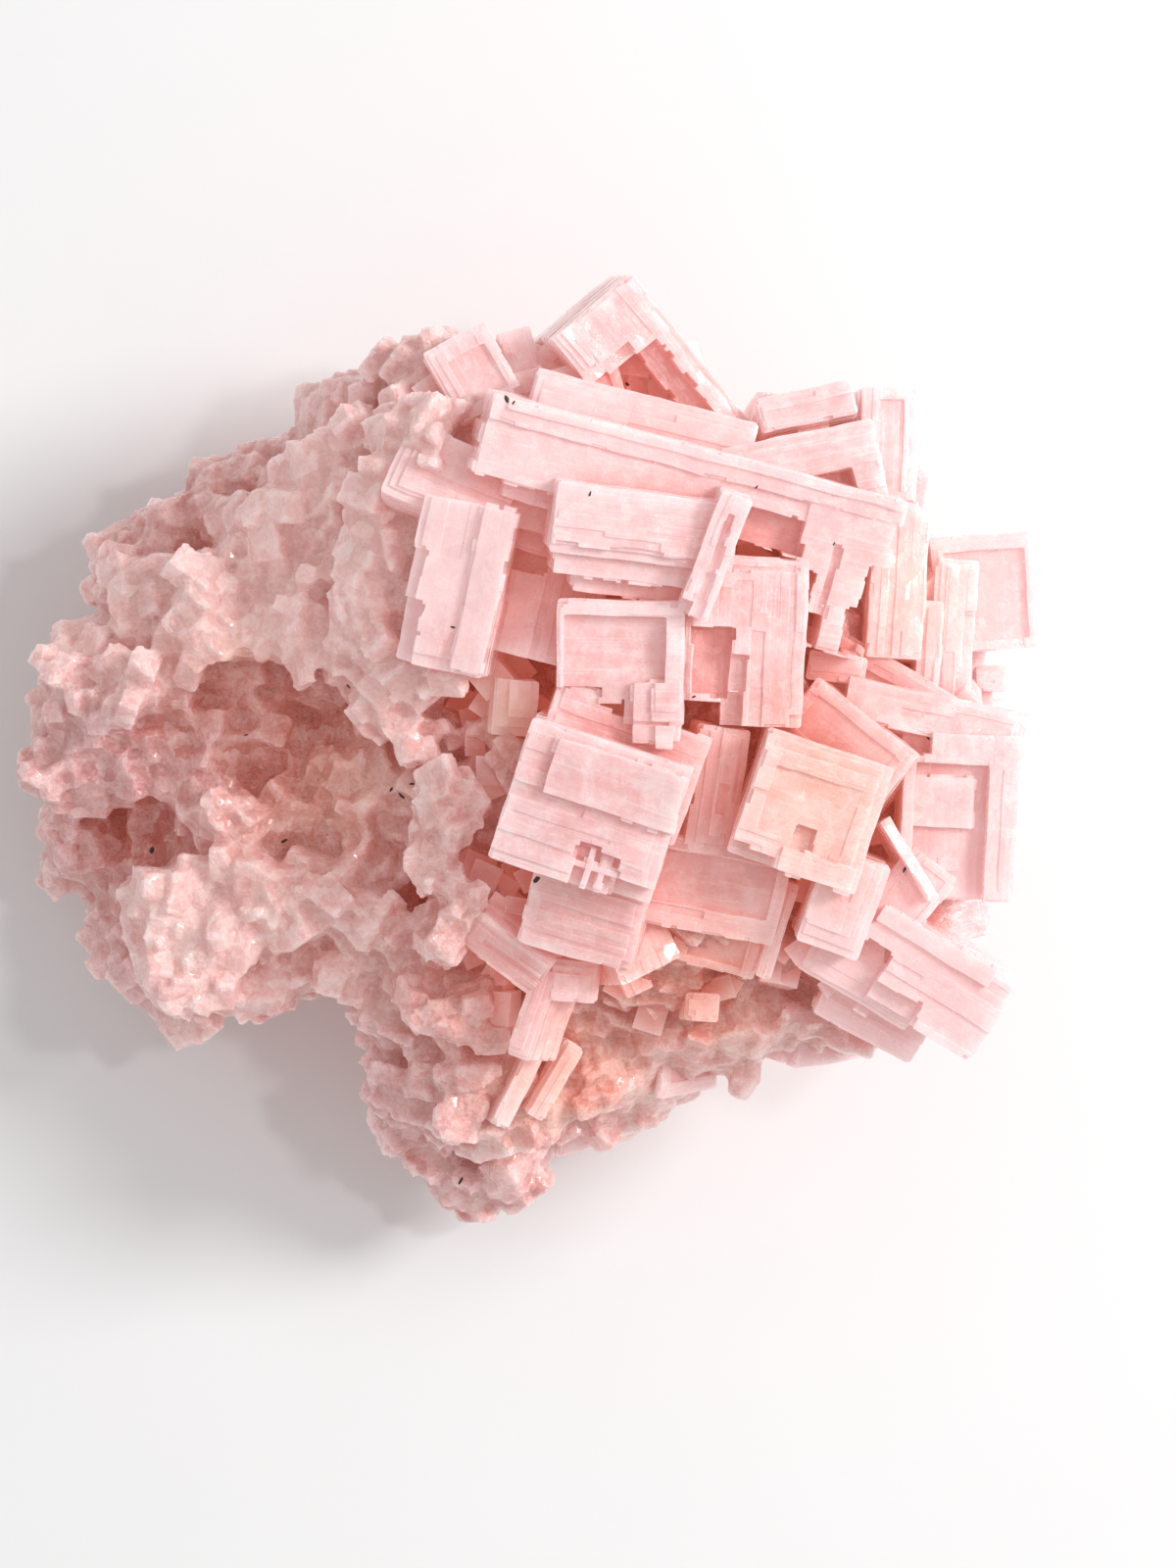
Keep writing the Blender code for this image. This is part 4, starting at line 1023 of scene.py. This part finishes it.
def add_facts(mesh, frames, space):
    """Stores on a piece what its material reads: edges, hollows, tints and the crystals' own axes."""
    points = points_of(mesh).astype(float)
    close, wide = shares_round(points, *space)
    # The edge share sets painted emission at thin edges; the hollow share sets painted shade in hollows.
    facts = {"edge": 0.5 - close, "hollow": wide - 0.5}
    for tint, *_ in TINTS:
        facts[tint] = np.zeros(len(points))
    for tint, place, radius, strength in TINTS:
        far = np.linalg.norm(points / MM - place, axis=1) / radius
        facts[tint] = np.maximum(facts[tint], strength * np.exp(-far ** 2))
    for name, values in facts.items():
        layer = mesh.attributes.new(name, "FLOAT", "POINT")
        layer.data.foreach_set("value", values.astype(np.float32))
    vertices = np.empty(len(mesh.loops), np.int32)
    mesh.loops.foreach_get("vertex_index", vertices)
    owner = np.zeros(len(mesh.polygons), np.int32)
    if "owner" in mesh.attributes:
        mesh.attributes["owner"].data.foreach_get("value", owner)
    corners = np.empty(len(mesh.polygons), np.int32)
    mesh.polygons.foreach_get("loop_total", corners)
    owner = np.repeat(owner, corners)
    lattice = points[vertices] / MM
    zone, tone = np.zeros((2, len(lattice)))
    for number, (matrix, size) in enumerate(frames):
        chosen = owner == number + 1
        inverse = np.array(matrix.inverted())
        local = (points[vertices[chosen]] @ inverse[:3, :3].T + inverse[:3, 3]) / MM
        depths = np.column_stack([np.array(size[:2]) / 2 - np.abs(local[:, :2]), -local[:, 2]])
        zone[chosen] = np.sort(depths, axis=1)[:, 1]
        tone[chosen] = random.Random(number).random()
        if size[1] > size[0]:
            local = local[:, (1, 0, 2)]
        lattice[chosen] = local + (number * 13.7, 0, 0)
    vectors = mesh.attributes.new("lattice", "FLOAT_VECTOR", "CORNER")
    vectors.data.foreach_set("vector", lattice.astype(np.float32).ravel())
    for name, values in (("zone", zone), ("tone", tone)):
        layer = mesh.attributes.new(name, "FLOAT", "CORNER")
        layer.data.foreach_set("value", values.astype(np.float32))


# ---------------------------------------------------------------- materials


class Sheet:
    """A material's or group's node tree, with short ways to add and join nodes."""

    def __init__(self, tree):
        self.tree = tree

    def node(self, kind, links=None, **settings):
        node = self.tree.nodes.new(kind)
        for key, value in settings.items():
            setattr(node, key, value)
        for key, value in (links or {}).items():
            self.set(node.inputs[key], value)
        return node

    def set(self, socket, value):
        if isinstance(value, bpy.types.NodeSocket):
            self.tree.links.new(value, socket)
        else:
            socket.default_value = value

    def fact(self, name):
        node = self.node("ShaderNodeAttribute", attribute_name=name)
        return node.outputs["Fac"]

    def vector(self, name):
        node = self.node("ShaderNodeAttribute", attribute_name=name)
        return node.outputs["Vector"]

    def place(self):
        """Where a point lies, in millimetres."""
        return self.scaled(self.node("ShaderNodeNewGeometry").outputs["Position"], (1000, 1000, 1000))

    def math(self, operation, a, b=0.0, c=0.0, clamp=False):
        node = self.node("ShaderNodeMath", {0: a, 1: b, 2: c}, operation=operation, use_clamp=clamp)
        return node.outputs[0]

    def scaled(self, vector, scale):
        if isinstance(scale, bpy.types.NodeSocket):
            return self.node("ShaderNodeVectorMath", {0: vector, "Scale": scale}, operation="SCALE").outputs[0]
        return self.node("ShaderNodeVectorMath", {0: vector, 1: scale}, operation="MULTIPLY").outputs[0]

    def ramp(self, value, low, high, bottom=0.0, top=1.0):
        links = {"Value": value, "From Min": low, "From Max": high, "To Min": bottom, "To Max": top}
        return self.node("ShaderNodeMapRange", links, clamp=True).outputs[0]

    def noise(self, vector, scale, detail=2.0, rough=0.5):
        links = {"Vector": vector, "Scale": scale, "Detail": detail, "Roughness": rough}
        return self.node("ShaderNodeTexNoise", links).outputs[0]

    def facets(self, place, scale):
        """Height of flat facets, each tilted its own way."""
        cells = self.node("ShaderNodeTexVoronoi", {"Vector": place, "Scale": scale}).outputs
        tilt = self.node("ShaderNodeVectorMath", {0: cells["Color"], 1: (0.5, 0.5, 0.5)}, operation="SUBTRACT")
        off = self.node("ShaderNodeVectorMath", {0: place, 1: cells["Position"]}, operation="SUBTRACT")
        lean = self.node("ShaderNodeVectorMath", {0: tilt.outputs[0], 1: off.outputs[0]},
                         operation="DOT_PRODUCT")
        return lean.outputs["Value"]

    def mix(self, amount, a, b, blend="MIX"):
        node = self.node("ShaderNodeMix", data_type="RGBA", blend_type=blend)
        self.set(node.inputs[0], amount)
        self.set(node.inputs[6], a)
        self.set(node.inputs[7], b)
        return node.outputs[2]

    def bump(self, height, distance, strength=1.0, normal=None):
        node = self.node("ShaderNodeBump", {"Height": height, "Distance": distance * MM,
                                            "Strength": strength})
        if normal is not None:
            self.set(node.inputs["Normal"], normal)
        return node.outputs[0]


def colour(red, green, blue):
    """A colour from its 0-255 screen values."""
    levels = [c / 255 for c in (red, green, blue)]
    return [c / 12.92 if c <= 0.04045 else ((c + 0.055) / 1.055) ** 2.4 for c in levels] + [1.0]


def group(name, inputs, outputs):
    """An empty shader group with named sockets: (its tree, its sheet, its inputs, its end node)."""
    tree = bpy.data.node_groups.new(name, "ShaderNodeTree")
    for socket, kind, value in inputs:
        made = tree.interface.new_socket(socket, in_out="INPUT", socket_type=kind)
        made.default_value = value
    for socket, kind in outputs:
        tree.interface.new_socket(socket, in_out="OUTPUT", socket_type=kind)
    sheet = Sheet(tree)
    start = tree.nodes.new("NodeGroupInput")
    end = tree.nodes.new("NodeGroupOutput")
    return tree, sheet, start.outputs, end.inputs


def growth_group():
    """Bands and streaks along a crystal's growth, as a mask for colour and a height."""
    tree, s, given, out = group(
        "growth_lines",
        [("Across", "NodeSocketFloat", 1.6), ("Fine", "NodeSocketFloat", 6.0),
         ("Streak", "NodeSocketFloat", 1.0)],
        [("Bands", "NodeSocketFloat"), ("Hairs", "NodeSocketFloat"), ("Core", "NodeSocketFloat"),
         ("Height", "NodeSocketFloat")],
    )
    zone, tone, lattice = s.fact("zone"), s.fact("tone"), s.vector("lattice")
    lined = s.node("ShaderNodeCombineXYZ", {"X": zone, "Y": s.math("MULTIPLY", tone, 40.0)}).outputs[0]
    sway = s.math("MULTIPLY", s.noise(lattice, 0.5, 2.0), 0.35)
    lined = s.node("ShaderNodeVectorMath", {0: lined, 1: sway}, operation="ADD").outputs[0]
    wide = s.noise(lined, given["Across"], 1.0)
    fine = s.noise(lined, given["Fine"], 2.0, 0.7)
    streaks = s.noise(s.scaled(lattice, (0.12, 1.0, 0.8)), given["Streak"], 4.0, 0.7)
    hairs = s.noise(s.scaled(lattice, (0.1, 3.2, 2.4)), given["Streak"], 3.0, 0.7)
    mixed = s.math("ADD", s.math("MULTIPLY", wide, 0.35), s.math("MULTIPLY", streaks, 0.65))
    s.set(out["Bands"], s.ramp(mixed, 0.4, 0.6))
    s.set(out["Hairs"], s.ramp(hairs, 0.52, 0.66))
    s.set(out["Core"], s.ramp(zone, 0.3, 3.2))
    s.set(out["Height"], s.math("ADD", s.math("MULTIPLY", fine, 0.5), s.math("MULTIPLY", streaks, 0.9)))
    return tree


def cloud_and_hollow_group():
    """Milky clouds and wisps inside the salt, and a mask of where it lies deep in hollows, which the material
    uses for painted shade there.
    """
    tree, s, given, out = group(
        "milky_clouds",
        [("Scale", "NodeSocketFloat", 0.12), ("Wisp Scale", "NodeSocketFloat", 0.5)],
        [("Clouds", "NodeSocketFloat"), ("Wisps", "NodeSocketFloat"), ("Deep", "NodeSocketFloat")],
    )
    place = s.place()
    s.set(out["Clouds"], s.ramp(s.noise(place, given["Scale"], 5.0, 0.62), 0.36, 0.64))
    s.set(out["Wisps"], s.ramp(s.noise(place, given["Wisp Scale"], 4.0, 0.7), 0.48, 0.68))
    s.set(out["Deep"], s.ramp(s.fact("hollow"), 0.0, 0.32))
    return tree


def grain_group():
    """Broken ice-like grain, with frost along the sharp edges, and its relief, by which the material paints
    raised grain lighter and low grain darker as painted highlight and painted shade.
    """
    tree, s, given, out = group(
        "icy_grain",
        [("Size", "NodeSocketFloat", 1.0), ("Frost", "NodeSocketFloat", 1.0)],
        [("Height", "NodeSocketFloat"), ("Frost", "NodeSocketFloat"), ("Speckle", "NodeSocketFloat")],
    )
    place = s.scaled(s.place(), given["Size"])
    warp = s.node("ShaderNodeTexNoise", {"Vector": place, "Scale": 0.8, "Detail": 2.0}).outputs[1]
    bent = s.node("ShaderNodeVectorMath", {0: place, 1: warp}, operation="ADD").outputs[0]
    coarse, small = s.facets(bent, 0.55), s.facets(bent, 1.7)
    fine = s.noise(place, 2.6, 4.0, 0.7)
    flat = s.math("ADD", s.math("MULTIPLY", coarse, 1.0), s.math("MULTIPLY", small, 0.45))
    s.set(out["Height"], s.math("ADD", flat, s.math("MULTIPLY", fine, 0.4)))
    raised = s.math("ADD", fine, s.math("MULTIPLY", flat, 0.35))
    surface = s.node("ShaderNodeNewGeometry").outputs["Normal"]
    rounded = s.node("ShaderNodeBevel", {"Radius": 0.3 * MM}, samples=2).outputs[0]
    turned = s.node("ShaderNodeVectorMath", {0: surface, 1: rounded}, operation="DOT_PRODUCT").outputs["Value"]
    sharp = s.ramp(turned, 0.99, 0.8)
    sharp = s.math("MULTIPLY", sharp, s.ramp(s.fact("edge"), -0.06, 0.1))
    broken = s.ramp(s.noise(place, 0.7, 3.0, 0.6), 0.4, 0.6)
    s.set(out["Frost"], s.math("MULTIPLY", s.math("MULTIPLY", sharp, broken), given["Frost"], clamp=True))
    s.set(out["Speckle"], s.ramp(raised, 0.3, 0.7))
    return tree


# Tones of the salt. "deep" is also the tone of painted shade in hollows, recesses and low grain, and "white"
# also that of painted highlight on raised grain.
CLEAR = {
    "rose": colour(236, 166, 166), "pale": colour(247, 210, 210), "white": colour(255, 244, 243),
    "deep": colour(208, 98, 86), "amber": colour(240, 184, 140), "cream": colour(248, 222, 198),
    "mauve": colour(226, 172, 172),
}
GRANULAR = {
    "rose": colour(232, 156, 150), "pale": colour(248, 205, 199), "white": colour(255, 240, 237),
    "deep": colour(168, 56, 38), "amber": colour(230, 128, 82), "cream": colour(244, 184, 144),
    "mauve": colour(198, 134, 138),
}


def salt_material(name, crust, growth, clouds, grain):
    material = bpy.data.materials.new(name)
    material.use_nodes = True
    s = Sheet(material.node_tree)
    shader = material.node_tree.nodes["Principled BSDF"]
    lines = s.node("ShaderNodeGroup", node_tree=growth)
    clouds_and_shade = s.node("ShaderNodeGroup", node_tree=clouds)
    icy = s.node("ShaderNodeGroup", node_tree=grain)
    if crust:
        lines.inputs["Across"].default_value = 0.4
        clouds_and_shade.inputs["Scale"].default_value = 0.14
        icy.inputs["Size"].default_value = 0.8
    else:
        icy.inputs["Frost"].default_value = 0.8
    tones = GRANULAR if crust else CLEAR
    body = s.mix(clouds_and_shade.outputs["Clouds"], tones["rose"], tones["pale"])
    if not crust:
        body = s.mix(s.math("MULTIPLY_ADD", lines.outputs["Core"], -0.5, 0.5), body, tones["pale"])
    body = s.mix(s.math("MULTIPLY", lines.outputs["Bands"], 0.2 if crust else 0.45), body, tones["pale"])
    body = s.mix(s.math("MULTIPLY", lines.outputs["Hairs"], 0.1 if crust else 0.4), body, tones["white"])
    body = s.mix(s.math("MULTIPLY", clouds_and_shade.outputs["Wisps"], 0.5), body, tones["white"])
    # mauve places: duller pink, and painted shade on the low slopes
    body = s.mix(s.math("MULTIPLY", s.fact("mauve"), 0.85), body, tones["mauve"])
    # pale places: paler salt, and painted light on faces lit brightest
    body = s.mix(s.math("MULTIPLY", s.fact("pale"), 0.8), body, tones["pale"])
    honey = s.mix(clouds_and_shade.outputs["Clouds"], tones["amber"], tones["cream"])
    body = s.mix(s.math("MULTIPLY", s.fact("amber"), 0.8 if crust else 0.6), body, honey)
    # rosy places: deeper pink, and painted shade in recesses
    body = s.mix(s.math("MULTIPLY", s.fact("rosy"), 0.6), body, tones["deep"])
    # Painted shade: deep in hollows the salt is painted towards the deep tone
    body = s.mix(s.math("MULTIPLY", clouds_and_shade.outputs["Deep"], 0.9), body, tones["deep"])
    # Painted shade and painted highlight: low grain is painted towards the deep tone and raised grain towards
    # white
    low = s.math("SUBTRACT", 1.0, icy.outputs["Speckle"])
    body = s.mix(s.math("MULTIPLY", low, 0.2 if crust else 0.06), body, tones["deep"])
    body = s.mix(s.math("MULTIPLY", icy.outputs["Speckle"], 0.35 if crust else 0.1), body, tones["white"])
    body = s.mix(s.math("MULTIPLY", icy.outputs["Frost"], 0.6), body, tones["white"])
    s.set(shader.inputs["Base Color"], body)
    s.set(shader.inputs["Roughness"], s.ramp(icy.outputs["Speckle"], 0.0, 1.0, 0.08, 0.28))
    normal = s.bump(lines.outputs["Height"], 0.2, 0.1 if crust else 0.25)
    normal = s.bump(icy.outputs["Height"], 0.7 if crust else 0.1, 0.8, normal)
    s.set(shader.inputs["Normal"], normal)
    shader.inputs["IOR"].default_value = 1.544
    # Painted light: emission stands in for light passing through the salt, brighter at thin edges and pale
    # places, redder in rosy places and deep hollows
    painted_glow = s.mix(s.ramp(s.fact("edge"), 0.0, 0.25), (0.17, 0.095, 0.085, 1), (0.42, 0.31, 0.31, 1))
    painted_glow = s.mix(s.math("MULTIPLY", s.fact("pale"), 0.6), painted_glow, (0.46, 0.34, 0.335, 1))
    painted_glow = s.mix(s.fact("rosy"), painted_glow, (0.27, 0.09, 0.065, 1) if crust else (0.46, 0.18, 0.13, 1))
    painted_glow = s.mix(clouds_and_shade.outputs["Deep"], painted_glow, (0.20, 0.045, 0.026, 1) if crust else (0.33, 0.11, 0.07, 1))
    s.set(shader.inputs["Emission Color"], painted_glow)
    shader.inputs["Emission Strength"].default_value = 0.45
    shader.inputs["Subsurface Weight"].default_value = 0.5
    shader.inputs["Subsurface Radius"].default_value = (0.9, 0.95, 1.0)
    shader.inputs["Subsurface Scale"].default_value = (2.4 if crust else 4.0) * MM
    shader.inputs["Transmission Weight"].default_value = 0.0 if crust else 0.08
    shader.inputs["Coat Weight"].default_value = 0.3
    shader.inputs["Coat Roughness"].default_value = 0.06
    material.cycles.emission_sampling = "NONE"
    return material


def salt_materials():
    groups = growth_group(), cloud_and_hollow_group(), grain_group()
    return salt_material("clear_salt", False, *groups), salt_material("granular_salt", True, *groups)


# ---------------------------------------------------------------- floor, light and camera


def grit_material():
    material = bpy.data.materials.new("dark_grit")
    material.use_nodes = True
    s = Sheet(material.node_tree)
    shader = material.node_tree.nodes["Principled BSDF"]
    spots = s.noise(s.place(), 4.0, 3.0)
    s.set(shader.inputs["Base Color"], s.mix(spots, colour(48, 30, 26), colour(104, 66, 54)))
    s.set(shader.inputs["Roughness"], s.ramp(spots, 0.3, 0.7, 0.5, 0.85))
    return material


def plain_floor():
    bm = bmesh.new()
    bmesh.ops.create_grid(bm, x_segments=1, y_segments=1, size=2.0)
    floor = linked("floor", mesh_of(bm, "floor"))
    floor.location.z = -0.0001
    material = bpy.data.materials.new("pale_floor")
    material.use_nodes = True
    s = Sheet(material.node_tree)
    shader = material.node_tree.nodes["Principled BSDF"]
    spots = s.noise(s.node("ShaderNodeNewGeometry").outputs["Position"], 40.0, 3.0)
    s.set(shader.inputs["Base Color"], s.mix(spots, (0.88, 0.88, 0.88, 1), (0.9, 0.9, 0.9, 1)))
    shader.inputs["Roughness"].default_value = 0.9
    shader.inputs["Specular IOR Level"].default_value = 0.1
    floor.data.materials.append(material)
    floor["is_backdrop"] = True


def area_light(name, place, aim, size, power):
    light = bpy.data.lights.new(name, "AREA")
    light.shape = "DISK"
    light.size = size
    light.energy = power
    obj = bpy.data.objects.new(name, light)
    bpy.context.scene.collection.objects.link(obj)
    obj.location = place
    obj.rotation_euler = (Vector(aim) - Vector(place)).to_track_quat("-Z", "Y").to_euler()


def light_and_camera():
    scene = bpy.context.scene
    world = bpy.data.worlds.new("studio")
    scene.world = world
    world.use_nodes = True
    backdrop = world.node_tree.nodes["Background"]
    backdrop.inputs["Color"].default_value = (1, 1, 1, 1)
    backdrop.inputs["Strength"].default_value = WORLD
    area_light("key", KEY_PLACE, (0, 0, 0.03), KEY_SIZE, KEY_POWER)
    area_light("sparkle", SPARKLE_PLACE, (0, 0, 0.03), SPARKLE_SIZE, SPARKLE_POWER)
    scene.view_settings.view_transform = "Standard"
    camera = bpy.data.cameras.new("camera")
    camera.sensor_fit = "VERTICAL"
    camera.sensor_height = 36
    camera.lens = LENS
    camera.clip_start = 0.01
    camera.clip_end = 20
    obj = bpy.data.objects.new("camera", camera)
    scene.collection.objects.link(obj)
    view_x, view_y = VIEW_MIDDLE
    far = LENS * FRAME_HEIGHT / 36
    obj.location = ((view_x - MIDDLE[0]) * MM, (view_y - MIDDLE[1]) * MM, (FOCUS_HEIGHT + far) * MM)
    scene.camera = obj


def add_piece(name, mesh, material):
    """A finished piece, moved to the middle and kept inside the solid's box."""
    low, high = (np.array(corner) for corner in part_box("halite_cluster"))
    set_points(mesh, np.clip(points_of(mesh) - np.array((*MIDDLE, 0)) * MM, low, high))
    mesh.materials.clear()
    mesh.materials.append(material)
    piece = linked(name, mesh)
    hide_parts("halite_cluster")
    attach(piece, "root")


def main():
    crust, tree = make_crust()
    crust = thinned(crust, TRIANGLES)
    crystals, frames = [], []
    for crystal in CRYSTALS:
        if crystal.name not in BURIED:
            frames.append((crystal_matrix(crystal), crystal.size))
            crystals.append(crystal_object(crystal, len(crystals), frames[-1][0]))
    for row in FLANK_CUBES:
        block, matrix = flank_object(row, len(frames), tree)
        frames.append((matrix, block.size))
        crystals.append(crystal_object(block, len(crystals), matrix))
    small = fillers(crust, crystals, random.Random(5))
    grown = thinned(joined(crystals[0], crystals[1:] + small), TRIANGLES)
    space = fill_space((crust, grown))
    add_facts(crust, (), space)
    add_facts(grown, frames, space)
    specks = dark_specks((crust, grown), random.Random(3))
    clear, granular = salt_materials()
    add_piece("granular_crust", crust, granular)
    add_piece("clear_crystals", grown, clear)
    add_piece("dark_specks", specks, grit_material())
    plain_floor()
    light_and_camera()


main()
boxes = {"cad": CAD_BOX, "visual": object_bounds()}
{name: [list(map(float, corner)) for corner in box] for name, box in boxes.items()}
